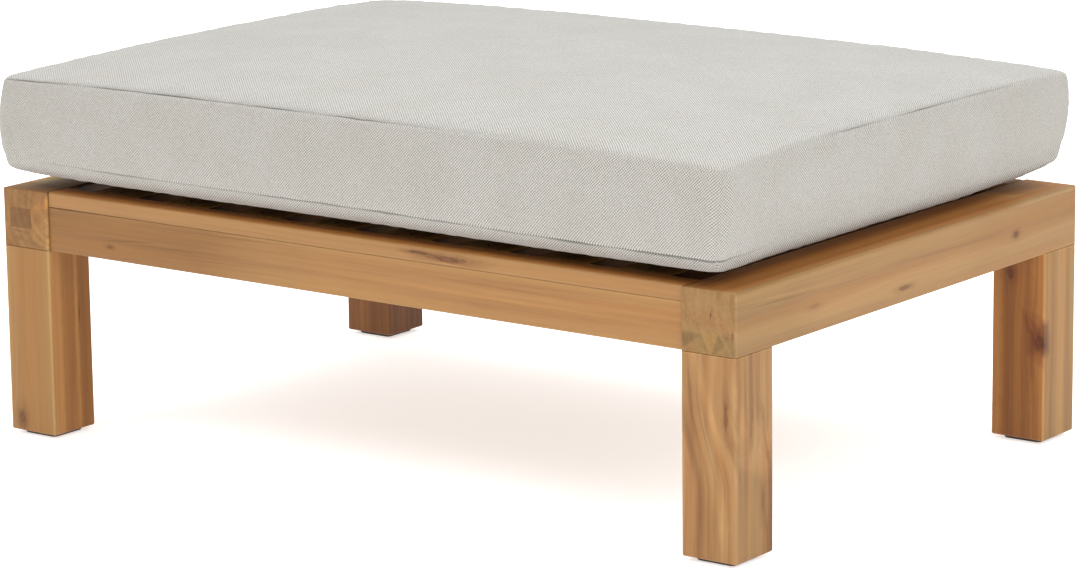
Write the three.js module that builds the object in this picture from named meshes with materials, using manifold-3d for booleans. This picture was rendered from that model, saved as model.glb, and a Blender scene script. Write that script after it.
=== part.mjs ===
// Outdoor footstool: a solid acacia frame on four square legs, a slatted deck and one loose box cushion.
// Millimetres. X runs along the length, Y from front to back, Z up.
// The origin is on the floor, under the middle of the frame.

import * as THREE from 'three';
import { mergeVertices } from 'three/addons/utils/BufferGeometryUtils.js';
import Module from 'manifold-3d';

const wasm = await Module();
wasm.setup();

// Clearances
const seatGap = 0.2; // glue line, or the air between two pieces that rest on each other
const slipGap = 0.3; // round a piece that slips into another
const overrun = 5; // how far a cutter runs past the face that it cuts

// Frame
const frameLength = 1050;
const frameDepth = 705;
const frameHeight = 300; // floor to the top of the rails
const beamSection = 70; // side rails, square
const railEdge = 3; // rounding along the upper edges of all rails
const beamUnderEdge = 1; // along the lower edges of the side rails
const beamEnd = 0.8; // chamfer round the cut ends
const longRailRecess = 3; // long rails stand back from the ends of the side rails
const longRailThickness = 67; // front to back
const stripThickness = 17; // top lamella of a long rail, as thick as the deck
const stripWidth = 35;
const glueEdge = 0.6; // rounding of both lamellas along their glue line
const boardUnderEdge = 1;
const boardEnd = 0.4; // chamfer round the ends of both lamellas

// Legs
const legSection = 70; // flush with the side rails
const legEdge = 2; // upright edges of the legs and of the side rails above them, sanded together
const legEnd = 1.5; // chamfer round the foot
const tenonSection = 38;
const tenonLength = 32;
const tenonEdge = 3;

// Foot glides and their screws
const glideSide = 50;
const glideThickness = 5;
const glideCorner = 6;
const glideEdge = 1;
const glideFloor = 1.6; // plastic left above the counterbore
const glideHeadRadius = 4.5;
const glideHeadHeight = 2;
const glideShankRadius = 2;
const glideScrewReach = 22; // into the leg

// Deck
const slatCount = 8;
const slatWidth = 70;
const slatEdge = 2;
const slatEnd = 1;
const slatScrewHeadRadius = 4.5;
const slatScrewHeadHeight = 2.8;
const slatScrewShankRadius = 2;
const slatScrewLength = 42;
const slatScrewSink = 0.6; // below the slat's top
const screwTip = 4;

// Corner brackets and their bolts
const bracketReach = 45; // along each rail from the inner corner
const bracketHeight = 36;
const bracketThickness = 3;
const bracketBend = 1.5; // inner radius of the bend
const bracketDrop = 7; // from the underside of the slats
const bracketNib = 5; // rounding of the free corners
const boltReach = 27; // hole centre from the inner corner
const boltHeadRadius = 6.5;
const boltHeadHeight = 3.4;
const boltShankRadius = 3;
const boltLength = 42;
const boltSocket = 4; // across the flats
const boltSocketDepth = 2;
const boltTip = 1; // chamfer at the end of the shank
const buttonShares = [[0.55, 1], [0.9, 0.6], [1, 0]]; // of a head's radius and height, from the crown down

// Cushion
const cushionSetback = 11; // from the ends of the frame to the seams
const cushionOverhang = 4; // of the seams past the front and the back of the frame
const cushionRest = 0.3; // above the deck
const lowerSeamHeight = 33; // above the deck
const boxingHeight = 102; // between the two seams
const topCrown = 27;
const crownPower = 0.42;
const undersidePower = 0.3;
const undersideFlatShare = 0.94; // where the underside meets the deck, of its full depth
const cushionCorner = 18; // plan radius
const boxingBulge = 6;
const sidePullIn = 4; // middle of a side, behind the line of its corners
const cornerDrop = 4;
const seamDepth = 1.6;
const seamLip = 2.4;
const fabricThickness = 1.2;
const fillingGap = 0.5;

// Zip along the back of the boxing
const zipLength = 520;
const zipHeight = 6;
const zipProud = 0.5; // teeth outside the fabric
const zipStop = 6; // closed end, past the slider
const sliderLength = 11;
const sliderHeight = 9;
const sliderThickness = 2.2;
const sliderEdge = 1.5;
const bailRadius = 0.8;
const bailLength = 9;
const bailStand = 2.8; // bar's axis above the slider's face
const pullWidth = 5;
const pullLength = 21;
const pullThickness = 1.2;
const pullWall = 0.9; // round the bar

// How finely the round and soft shapes are stepped
const edgeSteps = 2;
const screwSides = 12;
const bendSteps = 4;
const cornerSteps = 3;
const longSideSteps = 7;
const shortSideSteps = 5;
const faceShares = [0.85, 0.6, 0.34, 0.16, 0.06, 0.016]; // of the half depth, inwards from the seam
const innerFaceShares = [0.6, 0.16, 0.016];
const boxingShares = [0.25, 0.5, 0.75]; // of the height between the seams
const innerBoxingShares = [0.5];

// Places worked out from the sizes above
const railBottom = frameHeight - beamSection;
const railCentreZ = frameHeight - beamSection / 2;
const sideRailX = (frameLength - beamSection) / 2;
const legY = (frameDepth - beamSection) / 2;
const innerX = frameLength / 2 - beamSection; // inner face of a side rail
const railFaceY = frameDepth / 2 - longRailRecess; // outer face of a long rail
const innerY = railFaceY - longRailThickness; // inner face of a long rail
const deckUnderside = frameHeight - stripThickness;
const longRailLength = 2 * (innerX - slipGap);
const slatLength = 2 * (railFaceY - stripWidth - slipGap);
const slatScrewY = (slatLength / 2 + innerY) / 2; // middle of the ledge that carries the slat
const slatPitch = (2 * innerX - slatCount * slatWidth) / (slatCount + 1) + slatWidth;
const slatPlaces = Array.from({ length: slatCount }, (_, n) => (n - (slatCount - 1) / 2) * slatPitch);
const bracketCentreZ = deckUnderside - bracketDrop - bracketHeight / 2;
const cushionLength = frameLength - 2 * cushionSetback; // seam to seam
const cushionDepth = frameDepth + 2 * cushionOverhang;
const lowerSeamZ = frameHeight + lowerSeamHeight;
const upperSeamZ = lowerSeamZ + boxingHeight;
const zipZ = (lowerSeamZ + upperSeamZ) / 2;
const zipFaceY = cushionDepth / 2 + boxingBulge - sidePullIn + zipProud;

// Finishes
function finish(color, roughness, metalness) {
  return new THREE.MeshStandardMaterial({ color, roughness, metalness });
}
const railWood = () => finish(0xb98850, 0.6, 0);
const legWood = () => finish(0xb07f48, 0.6, 0);
const deckWood = () => finish(0xa97a47, 0.65, 0);
const zincedSteel = () => finish(0xa9adb0, 0.4, 0.9);
const stainlessSteel = () => finish(0xb8babc, 0.3, 0.95);
const blackPlastic = () => finish(0x2b2622, 0.6, 0);
const coverFabric = () => finish(0xc9c5bd, 0.9, 0);
const foam = () => finish(0xe9e4d4, 0.95, 0);
const zipTape = () => finish(0xa7a39a, 0.7, 0);

// Solids and cuts

/** Welds equal vertices and leaves out the flat triangles that a pole or a bevel can give. */
function welded(geometry) {
  const bare = geometry.clone();
  bare.deleteAttribute('normal');
  bare.deleteAttribute('uv');
  const joined = mergeVertices(bare);
  const corners = joined.index.array;
  const kept = [];
  for (let n = 0; n < corners.length; n += 3) {
    const [a, b, c] = [corners[n], corners[n + 1], corners[n + 2]];
    if (a !== b && b !== c && c !== a) kept.push(a, b, c);
  }
  joined.setIndex(kept);
  joined.computeVertexNormals();
  return joined;
}

function toSolid(geometry) {
  const joined = welded(geometry);
  return new wasm.Manifold(new wasm.Mesh({
    numProp: 3,
    vertProperties: joined.getAttribute('position').array,
    triVerts: Uint32Array.from(joined.index.array),
  }));
}

function toGeometry(solid) {
  const { vertProperties, triVerts } = solid.getMesh();
  const geometry = new THREE.BufferGeometry();
  geometry.setAttribute('position', new THREE.BufferAttribute(vertProperties, 3));
  geometry.setIndex(new THREE.BufferAttribute(triVerts, 1));
  geometry.computeVertexNormals();
  return geometry;
}

/** The geometry less every cutter. */
function cut(geometry, cutters) {
  const rest = cutters.reduce((solid, cutter) => solid.subtract(toSolid(cutter)), toSolid(geometry));
  return toGeometry(rest);
}

/** Corner radii run anticlockwise from the one at +X +Y. */
function roundedRectangle(width, height, radii) {
  const corners = [[1, 1], [-1, 1], [-1, -1], [1, -1]];
  const quarter = Math.PI / 2;
  const shape = new THREE.Shape();
  corners.forEach(([signX, signY], n) => {
    const [x, y] = [signX * (width / 2 - radii[n]), signY * (height / 2 - radii[n])];
    shape.absarc(x, y, radii[n], n * quarter, (n + 1) * quarter);
  });
  return shape;
}

/** A bar along Z, centred on the origin, with chamfered ends. The edge is one radius, or four of them. */
function bar(width, height, length, edge, end) {
  const radii = Array.isArray(edge) ? edge : Array(4).fill(edge);
  const geometry = new THREE.ExtrudeGeometry(roundedRectangle(width, height, radii), {
    depth: length - 2 * end,
    curveSegments: edgeSteps,
    bevelThickness: end,
    bevelSize: end,
    bevelOffset: -end,
    bevelSegments: 1,
  });
  return geometry.translate(0, 0, end - length / 2);
}

/** Bars that lie along X or Y, with one edge radius on top and one underneath. */
const barAlongX = (length, depth, height, [top, under], end) =>
  bar(height, depth, length, [under, top, top, under], end).rotateY(Math.PI / 2);
const barAlongY = (width, length, height, [top, under], end) =>
  bar(width, height, length, [under, under, top, top], end).rotateX(-Math.PI / 2);

/** A body turned about Z from [radius, height] points that start and end on the axis. */
function turned(points, sides = screwSides) {
  const profile = points.map(([radius, height]) => new THREE.Vector2(radius, height));
  return new THREE.LatheGeometry(profile, sides).rotateX(Math.PI / 2);
}

/** Start of a screw's turned profile: the domed head, from its crown to its bearing face at height 0. */
function buttonHead(radius, height) {
  return [[0, -height], ...buttonShares.map(([across, up]) => [across * radius, -up * height])];
}

/** A round cutter from one height to another. */
function drill(radius, from, to) {
  return turned([[0, from], [radius, from], [radius, to], [0, to]]);
}

function piece(name, geometry, material) {
  const mesh = new THREE.Mesh(geometry, material);
  mesh.name = name;
  return mesh;
}

function at(object, x, y, z) {
  object.position.set(x, y, z);
  return object;
}

// Frame

/** Right-hand side rail: mortises for the leg tenons below, bolt holes in its inner face. */
function sideRailGeometry() {
  const mortise = tenonSection + 2 * slipGap;
  const depth = tenonLength + slipGap;
  const cutters = [];
  for (const end of [-1, 1]) {
    const socket = bar(mortise, mortise, depth + overrun, tenonEdge, tenonEdge / 2);
    cutters.push(socket.translate(0, end * legY, (depth - overrun - beamSection) / 2));
    const hole = drill(boltShankRadius + slipGap, -overrun, boltLength).rotateY(Math.PI / 2);
    cutters.push(hole.translate(-beamSection / 2, end * (innerY - boltReach), bracketCentreZ - railCentreZ));
  }
  const blank = barAlongY(beamSection, frameDepth, beamSection, [railEdge, beamUnderEdge], beamEnd);
  const footprint = bar(beamSection, frameDepth, beamSection + overrun, legEdge, beamEnd);
  return cut(toGeometry(toSolid(blank).intersect(toSolid(footprint))), cutters);
}

/** Front lower board: holes for the bracket bolts in its inner face, for the slat screws in its top. */
function lowerBoardGeometry(height) {
  const cutters = [];
  for (const end of [-1, 1]) {
    const hole = drill(boltShankRadius + slipGap, -overrun, boltLength).rotateX(Math.PI / 2);
    const z = bracketCentreZ - (railBottom + height / 2);
    cutters.push(hole.translate(end * (innerX - boltReach), longRailThickness / 2, z));
  }
  const screwY = railFaceY - longRailThickness / 2 - slatScrewY;
  const depth = slatScrewLength + slatScrewSink - stripThickness + slipGap;
  for (const x of slatPlaces) {
    const hole = drill(slatScrewShankRadius + slipGap, -depth, overrun);
    cutters.push(hole.translate(x, screwY, height / 2));
  }
  const edges = [glueEdge, boardUnderEdge];
  return cut(barAlongX(longRailLength, longRailThickness, height, edges, boardEnd), cutters);
}

/** One leg: a square shoulder with a stub tenon on top, and the hole for its glide's screw. */
function legGeometry(length) {
  const blank = bar(legSection, legSection, length + overrun, legEdge, legEnd).translate(0, 0, overrun / 2);
  const post = toSolid(blank).trimByPlane([0, 0, -1], -length / 2);
  const tenon = bar(tenonSection, tenonSection, tenonLength + overrun, tenonEdge, tenonEdge / 2);
  const joined = post.add(toSolid(tenon.translate(0, 0, (length + tenonLength - overrun) / 2)));
  const hole = drill(glideShankRadius + slipGap, -overrun, glideScrewReach + slipGap);
  return toGeometry(joined.subtract(toSolid(hole.translate(0, 0, -length / 2))));
}

function glideGeometry() {
  const pad = bar(glideSide, glideSide, glideThickness, glideCorner, glideEdge);
  const floor = glideThickness / 2 - glideFloor;
  return cut(pad, [
    drill(glideShankRadius + slipGap, -glideThickness, glideThickness),
    drill(glideHeadRadius + slipGap, -glideThickness, floor),
  ]);
}

/** Pan-head screw, head down, with the bearing face of its head at height 0. */
function glideScrewGeometry() {
  const tipZ = glideFloor + glideScrewReach;
  return welded(turned([
    ...buttonHead(glideHeadRadius, glideHeadHeight),
    [glideShankRadius, 0], [glideShankRadius, tipZ - screwTip], [0, tipZ],
  ]));
}

function buildSideRails() {
  const group = new THREE.Group();
  const geometry = sideRailGeometry();
  for (const [side, sign] of [['right', 1], ['left', -1]]) {
    const rail = at(piece(`side_rail_${side}`, geometry, railWood()), sign * sideRailX, 0, railCentreZ);
    rail.rotation.z = sign > 0 ? 0 : Math.PI;
    group.add(rail);
  }
  return group;
}

/** Each long rail is a lower board with a narrower strip glued along its outer edge, level with the deck. */
function buildLongRails() {
  const group = new THREE.Group();
  const boardHeight = beamSection - stripThickness - seatGap;
  const board = lowerBoardGeometry(boardHeight);
  const strip = welded(barAlongX(longRailLength, stripWidth, stripThickness, [railEdge, glueEdge], boardEnd));
  for (const [side, turn] of [['front', 0], ['back', Math.PI]]) {
    const rail = new THREE.Group();
    const boardY = longRailThickness / 2 - railFaceY;
    const stripY = stripWidth / 2 - railFaceY;
    const lower = piece(`${side}_rail_lower_board`, board, railWood());
    const upper = piece(`${side}_rail_top_strip`, strip, railWood());
    rail.add(at(lower, 0, boardY, railBottom + boardHeight / 2));
    rail.add(at(upper, 0, stripY, frameHeight - stripThickness / 2));
    rail.rotation.z = turn;
    group.add(rail);
  }
  return group;
}

function buildLegs() {
  const group = new THREE.Group();
  const bottom = glideThickness + seatGap;
  const length = railBottom - seatGap - bottom;
  const leg = legGeometry(length);
  const glide = glideGeometry();
  const screw = glideScrewGeometry();
  const headZ = glideThickness - glideFloor - seatGap;
  for (const [depthName, signY] of [['front', -1], ['back', 1]]) {
    for (const [sideName, signX] of [['left', -1], ['right', 1]]) {
      const corner = at(new THREE.Group(), signX * sideRailX, signY * legY, 0);
      const name = `${depthName}_${sideName}`;
      corner.add(at(piece(`leg_${name}`, leg, legWood()), 0, 0, bottom + length / 2));
      corner.add(at(piece(`foot_glide_${name}`, glide, blackPlastic()), 0, 0, glideThickness / 2));
      corner.add(at(piece(`glide_screw_${name}`, screw, zincedSteel()), 0, 0, headZ));
      group.add(corner);
    }
  }
  return group;
}

// Deck

function slatGeometry() {
  const cutters = [];
  for (const end of [-1, 1]) {
    const top = stripThickness / 2;
    const neck = top - slatScrewSink - slatScrewHeadHeight;
    const wide = slatScrewHeadRadius + slipGap;
    const narrow = slatScrewShankRadius + slipGap;
    const countersink = turned([
      [0, -stripThickness], [narrow, -stripThickness], [narrow, neck],
      [wide, top - slatScrewSink], [wide, top + overrun], [0, top + overrun],
    ]);
    cutters.push(countersink.translate(0, end * slatScrewY, 0));
  }
  return cut(barAlongY(slatWidth, slatLength, stripThickness, [slatEdge, slatEdge], slatEnd), cutters);
}

/** Countersunk wood screw, its head's top at height 0. */
function slatScrewGeometry() {
  return welded(turned([
    [0, -slatScrewLength], [slatScrewShankRadius, screwTip - slatScrewLength],
    [slatScrewShankRadius, -slatScrewHeadHeight], [slatScrewHeadRadius, 0], [0, 0],
  ]));
}

function buildDeck() {
  const group = new THREE.Group();
  const slat = slatGeometry();
  const screw = slatScrewGeometry();
  const slatZ = frameHeight - stripThickness / 2;
  slatPlaces.forEach((x, n) => {
    const name = `deck_slat_${n + 1}`;
    group.add(at(piece(name, slat, deckWood()), x, 0, slatZ));
    for (const [end, sign] of [['front', -1], ['back', 1]]) {
      const fixing = piece(`slat_screw_${n + 1}_${end}`, screw, stainlessSteel());
      group.add(at(fixing, x, sign * slatScrewY, frameHeight - slatScrewSink));
    }
  });
  return group;
}

// Corner brackets

/** Bent steel angle for the front right corner: one wing runs to the left, the other to the back. */
function bracketGeometry() {
  const [near, far] = [seatGap, seatGap + bracketThickness];
  const bendAt = far + bracketBend;
  const profile = new THREE.Shape();
  profile.moveTo(-bracketReach, near);
  profile.absarc(-bendAt, bendAt, bracketBend + bracketThickness, -Math.PI / 2, 0);
  profile.lineTo(-near, bracketReach);
  profile.lineTo(-far, bracketReach);
  profile.absarc(-bendAt, bendAt, bracketBend, 0, -Math.PI / 2, true);
  profile.lineTo(-bracketReach, far);
  const angle = new THREE.ExtrudeGeometry(profile, {
    depth: bracketHeight,
    curveSegments: bendSteps,
    bevelEnabled: false,
  });
  const outline = (turn) => {
    const length = 2 * bracketReach;
    const plate = bar(length, bracketHeight, 2 * bracketReach, bracketNib, bracketNib / 2);
    return toSolid(plate.rotateX(Math.PI / 2).rotateZ(turn));
  };
  const hole = drill(boltShankRadius + slipGap, -overrun, bracketReach);
  const holes = [
    hole.clone().rotateY(-Math.PI / 2).translate(0, boltReach, 0),
    hole.clone().rotateX(-Math.PI / 2).translate(-boltReach, 0, 0),
  ];
  const body = toSolid(angle.translate(0, 0, -bracketHeight / 2));
  const rounded = body.intersect(outline(0)).intersect(outline(Math.PI / 2));
  return cut(toGeometry(rounded), holes);
}

/** Button-head bolt along +Z with a hexagon socket, the bearing face of its head at height 0. */
function boltGeometry() {
  const body = turned([
    ...buttonHead(boltHeadRadius, boltHeadHeight),
    [boltShankRadius, 0], [boltShankRadius, boltLength - boltTip], [boltShankRadius - boltTip, boltLength],
    [0, boltLength],
  ]);
  const socketRadius = boltSocket / Math.sqrt(3);
  const socket = turned([
    [0, -boltHeadHeight - overrun], [socketRadius, -boltHeadHeight - overrun],
    [socketRadius, boltSocketDepth - boltHeadHeight], [0, boltSocketDepth - boltHeadHeight],
  ], 6);
  return cut(body, [socket]);
}

function buildBrackets() {
  const group = new THREE.Group();
  const bracket = bracketGeometry();
  const bolt = boltGeometry();
  const headAt = 2 * seatGap + bracketThickness;
  const corners = [
    ['front_right', 1, -1, 0, 'side', 'front'],
    ['back_right', 1, 1, 1, 'back', 'side'],
    ['back_left', -1, 1, 2, 'side', 'back'],
    ['front_left', -1, -1, 3, 'front', 'side'],
  ];
  for (const [name, signX, signY, quarter, alongBack, alongLeft] of corners) {
    const corner = at(new THREE.Group(), signX * innerX, signY * innerY, bracketCentreZ);
    corner.rotation.z = quarter * Math.PI / 2;
    corner.add(piece(`corner_bracket_${name}`, bracket, zincedSteel()));
    const first = piece(`bracket_bolt_${name}_${alongBack}`, bolt, stainlessSteel());
    first.rotation.y = Math.PI / 2;
    const second = piece(`bracket_bolt_${name}_${alongLeft}`, bolt, stainlessSteel());
    second.rotation.x = Math.PI / 2;
    corner.add(at(first, -headAt, boltReach, 0), at(second, -boltReach, headAt, 0));
    group.add(corner);
  }
  return group;
}

// Cushion

/** Plan outline of the cushion, anticlockwise, each point with the direction that faces out there. */
function planOutline(halfX, halfY, radius) {
  const points = [];
  const corners = [[1, 1], [-1, 1], [-1, -1], [1, -1]];
  corners.forEach(([signX, signY], quarter) => {
    const centre = new THREE.Vector2(signX * (halfX - radius), signY * (halfY - radius));
    for (let step = 0; step <= cornerSteps; step++) {
      const angle = (quarter + step / cornerSteps) * Math.PI / 2;
      const out = new THREE.Vector2(Math.cos(angle), Math.sin(angle));
      points.push({ place: centre.clone().addScaledVector(out, radius), out });
    }
    const next = corners[(quarter + 1) % corners.length];
    const { place, out } = points[points.length - 1];
    const far = new THREE.Vector2(next[0] * (halfX - radius), next[1] * (halfY - radius));
    far.addScaledVector(out, radius);
    const steps = quarter % 2 ? shortSideSteps : longSideSteps;
    for (let step = 1; step < steps; step++) {
      points.push({ place: place.clone().lerp(far, step / steps), out });
    }
  });
  return points;
}

/** One ring of the cushion: its outline drawn in by a distance, at a height given for each point. */
function cushionRing(inward, heightAt) {
  const [halfX, halfY] = [cushionLength / 2, cushionDepth / 2];
  const radius = Math.max(cushionCorner - inward, cushionCorner / 3);
  return planOutline(halfX - inward, halfY - inward, radius).map(({ place, out }) => {
    const shareX = Math.min(Math.abs(place.x) / halfX, 1);
    const shareY = Math.min(Math.abs(place.y) / halfY, 1);
    const pull = out.x ** 2 * (1 - shareY ** 4) + out.y ** 2 * (1 - shareX ** 4);
    const x = place.x - out.x * sidePullIn * pull;
    const y = place.y - out.y * sidePullIn * pull;
    return new THREE.Vector3(x, y, heightAt(shareX, shareY));
  });
}

/** Closed body of the cushion, every face set in by the same amount. */
function cushionGeometry(inset, shares, levels, lip) {
  const dome = (shareX, shareY) => Math.max((1 - shareX ** 2) * (1 - shareY ** 2), 0);
  const sag = (shareX, shareY) => cornerDrop * (shareX * shareY) ** 4;
  const rest = frameHeight + cushionRest + inset;
  const top = (x, y) => upperSeamZ - inset + topCrown * dome(x, y) ** crownPower - sag(x, y);
  const under = (x, y) => {
    const seam = lowerSeamZ + inset - sag(x, y);
    return Math.max(seam - (seam - rest) * dome(x, y) ** undersidePower / undersideFlatShare, rest);
  };
  const seamRings = (seamZ) => {
    const ring = (inward, dz) => cushionRing(inset + inward, (x, y) => seamZ + dz - sag(x, y));
    return lip ? [ring(0, -seamLip), ring(seamDepth, 0), ring(0, seamLip)] : [ring(0, 0)];
  };
  const halfY = cushionDepth / 2;
  const rings = [
    ...shares.map((share) => cushionRing(inset + share * halfY, under)),
    ...seamRings(lowerSeamZ + inset),
    ...levels.map((share) => {
      const bulge = boxingBulge * Math.sin(Math.PI * share);
      const z = lowerSeamZ + inset + share * (boxingHeight - 2 * inset);
      return cushionRing(inset - bulge, (x, y) => z - sag(x, y));
    }),
    ...seamRings(upperSeamZ - inset),
    ...shares.slice().reverse().map((share) => cushionRing(inset + share * halfY, top)),
  ];
  return lofted(rings, new THREE.Vector3(0, 0, rest), new THREE.Vector3(0, 0, top(0, 0)));
}

/** Skin through equal rings from the bottom up, closed with a fan at each end. */
function lofted(rings, bottom, top) {
  const count = rings[0].length;
  const points = [...rings.flat(), bottom, top];
  const index = [];
  const [bottomAt, topAt] = [points.length - 2, points.length - 1];
  for (let n = 0; n < count; n++) {
    const next = (n + 1) % count;
    index.push(bottomAt, next, n);
    for (let level = 0; level < rings.length - 1; level++) {
      const [a, b] = [level * count + n, level * count + next];
      index.push(a, b, b + count, a, b + count, a + count);
    }
    const last = (rings.length - 1) * count;
    index.push(topAt, last + n, last + next);
  }
  const geometry = new THREE.BufferGeometry().setFromPoints(points);
  geometry.setIndex(index);
  geometry.computeVertexNormals();
  return geometry;
}

/** Sewn cover: a thin skin, open only where the zip is set in. */
function coverGeometry() {
  const skin = fabricThickness + seamDepth;
  const outside = cushionGeometry(0, faceShares, boxingShares, true);
  const inside = cushionGeometry(skin, innerFaceShares, innerBoxingShares, false);
  const slotDepth = 2 * (skin + overrun);
  const slot = new THREE.BoxGeometry(zipLength + 2 * seatGap, slotDepth, zipHeight + 2 * seatGap);
  return cut(outside, [inside, slot.translate(0, zipFaceY, zipZ)]);
}

function buildCushion() {
  const group = new THREE.Group();
  const skin = fabricThickness + seamDepth;
  const filling = cushionGeometry(skin + fillingGap, innerFaceShares, innerBoxingShares, false);
  const chainThickness = skin + zipProud;
  const chain = new THREE.BoxGeometry(zipLength, chainThickness, zipHeight);
  group.add(piece('cushion_cover', coverGeometry(), coverFabric()));
  group.add(piece('cushion_filling', welded(filling), foam()));
  group.add(at(piece('zip_chain', welded(chain), zipTape()), 0, zipFaceY - chainThickness / 2, zipZ));
  return group;
}

// Zip slider and its pull

/** Slider plate with the bar that holds the pull, its inner face at y = 0. */
function sliderGeometry() {
  const edges = [sliderEdge, sliderEdge];
  const plate = barAlongY(sliderLength, sliderThickness, sliderHeight, edges, sliderEdge / 3);
  const barY = sliderThickness + bailStand;
  const rod = drill(bailRadius, -bailLength / 2, bailLength / 2).rotateY(Math.PI / 2).translate(0, barY, 0);
  let body = toSolid(plate.translate(0, sliderThickness / 2, 0)).add(toSolid(rod));
  for (const end of [-1, 1]) {
    const postLength = bailStand + sliderThickness / 2 + bailRadius;
    const post = new THREE.BoxGeometry(2 * bailRadius, postLength, 2 * bailRadius);
    const x = end * (bailLength / 2 - bailRadius);
    body = body.add(toSolid(post.translate(x, barY + bailRadius - postLength / 2, 0)));
  }
  return toGeometry(body);
}

/** Pull tab folded round the slider's bar; the bar's axis is the origin and the tab hangs down. */
function pullGeometry() {
  const inner = bailRadius + slipGap;
  const outer = inner + pullWall;
  const side = pullThickness / 2;
  const join = Math.asin(side / outer);
  const profile = new THREE.Shape();
  profile.absarc(0, 0, outer, join - Math.PI / 2, 1.5 * Math.PI - join);
  profile.absarc(0, side - pullLength, side, Math.PI, 2 * Math.PI);
  const eye = new THREE.Path();
  eye.absarc(0, 0, inner, 0, 2 * Math.PI, true);
  profile.holes.push(eye);
  const tab = new THREE.ExtrudeGeometry(profile, {
    depth: pullWidth,
    curveSegments: screwSides,
    bevelEnabled: false,
  });
  return tab.translate(0, 0, -pullWidth / 2).rotateX(Math.PI / 2).rotateZ(Math.PI / 2);
}

function buildZipSlider() {
  const slider = new THREE.Group();
  const x = zipLength / 2 - zipStop - sliderLength / 2;
  at(slider, x, zipFaceY + slipGap, zipZ);
  slider.add(piece('zip_slider', sliderGeometry(), zincedSteel()));
  slider.add(at(piece('zip_pull', welded(pullGeometry()), zincedSteel()), 0, sliderThickness + bailStand, 0));
  return slider;
}

const footstool = new THREE.Group();
footstool.add(buildSideRails(), buildLongRails(), buildLegs(), buildDeck(), buildBrackets());
footstool.add(buildCushion(), buildZipSlider());

export default footstool;
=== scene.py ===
import math

import bpy
import numpy as np
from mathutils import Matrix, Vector, noise


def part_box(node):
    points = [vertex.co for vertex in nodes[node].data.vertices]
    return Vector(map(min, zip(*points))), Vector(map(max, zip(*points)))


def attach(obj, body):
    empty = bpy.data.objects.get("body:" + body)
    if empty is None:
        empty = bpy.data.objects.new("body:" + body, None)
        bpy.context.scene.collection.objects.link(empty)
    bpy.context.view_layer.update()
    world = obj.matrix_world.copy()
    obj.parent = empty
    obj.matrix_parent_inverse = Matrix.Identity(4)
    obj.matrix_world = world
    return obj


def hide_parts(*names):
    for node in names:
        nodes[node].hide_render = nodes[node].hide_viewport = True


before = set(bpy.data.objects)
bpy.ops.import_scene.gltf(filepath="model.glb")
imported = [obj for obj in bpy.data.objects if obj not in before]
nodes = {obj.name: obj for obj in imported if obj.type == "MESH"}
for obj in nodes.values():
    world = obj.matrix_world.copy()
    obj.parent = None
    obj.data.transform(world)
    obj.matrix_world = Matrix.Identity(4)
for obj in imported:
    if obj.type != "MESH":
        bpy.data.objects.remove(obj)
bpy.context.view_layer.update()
print("frame loaded:", len(nodes), "pieces")


# camera

cameraLook = {
    "azimuth": 37.02,  # degrees, 0 looks along +Y
    "elevation": 12.42,
    "roll": -0.695,
    "distance": 5.1645,
    "lens": 145.6,  # millimetres on a 36 mm sensor
    "sideStep": 0.00315,  # of the aim, towards the camera's right
    "aimHeight": 0.1799,
}


def makeCamera(look):
    azimuth, elevation, roll = (math.radians(look[key]) for key in ("azimuth", "elevation", "roll"))
    right = Vector((math.cos(azimuth), math.sin(azimuth), 0))
    flat = math.cos(elevation)
    back = Vector((math.sin(azimuth) * flat, -math.cos(azimuth) * flat, math.sin(elevation)))
    up = back.cross(right)
    rolledRight = right * math.cos(roll) + up * math.sin(roll)
    rolledUp = up * math.cos(roll) - right * math.sin(roll)
    aim = right * look["sideStep"] + Vector((0, 0, look["aimHeight"]))
    camera = bpy.data.objects.new("camera", bpy.data.cameras.new("camera"))
    bpy.context.scene.collection.objects.link(camera)
    camera.data.lens = look["lens"]
    camera.data.sensor_width = 36
    camera.data.clip_start = 0.1
    camera.data.clip_end = 60
    turn = camera.matrix_world.to_3x3()
    turn.col[0], turn.col[1], turn.col[2] = rolledRight, rolledUp, back
    place = turn.to_4x4()
    place.translation = aim + back * look["distance"]
    camera.matrix_world = place
    bpy.context.scene.camera = camera


makeCamera(cameraLook)
print("camera set")


# shader helpers

def tone(code):
    # linear colour of an sRGB hex code
    parts = [int(code[n:n + 2], 16) / 255 for n in (0, 2, 4)]
    return (*(c / 12.92 if c < 0.04045 else ((c + 0.055) / 1.055) ** 2.4 for c in parts), 1)


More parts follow.
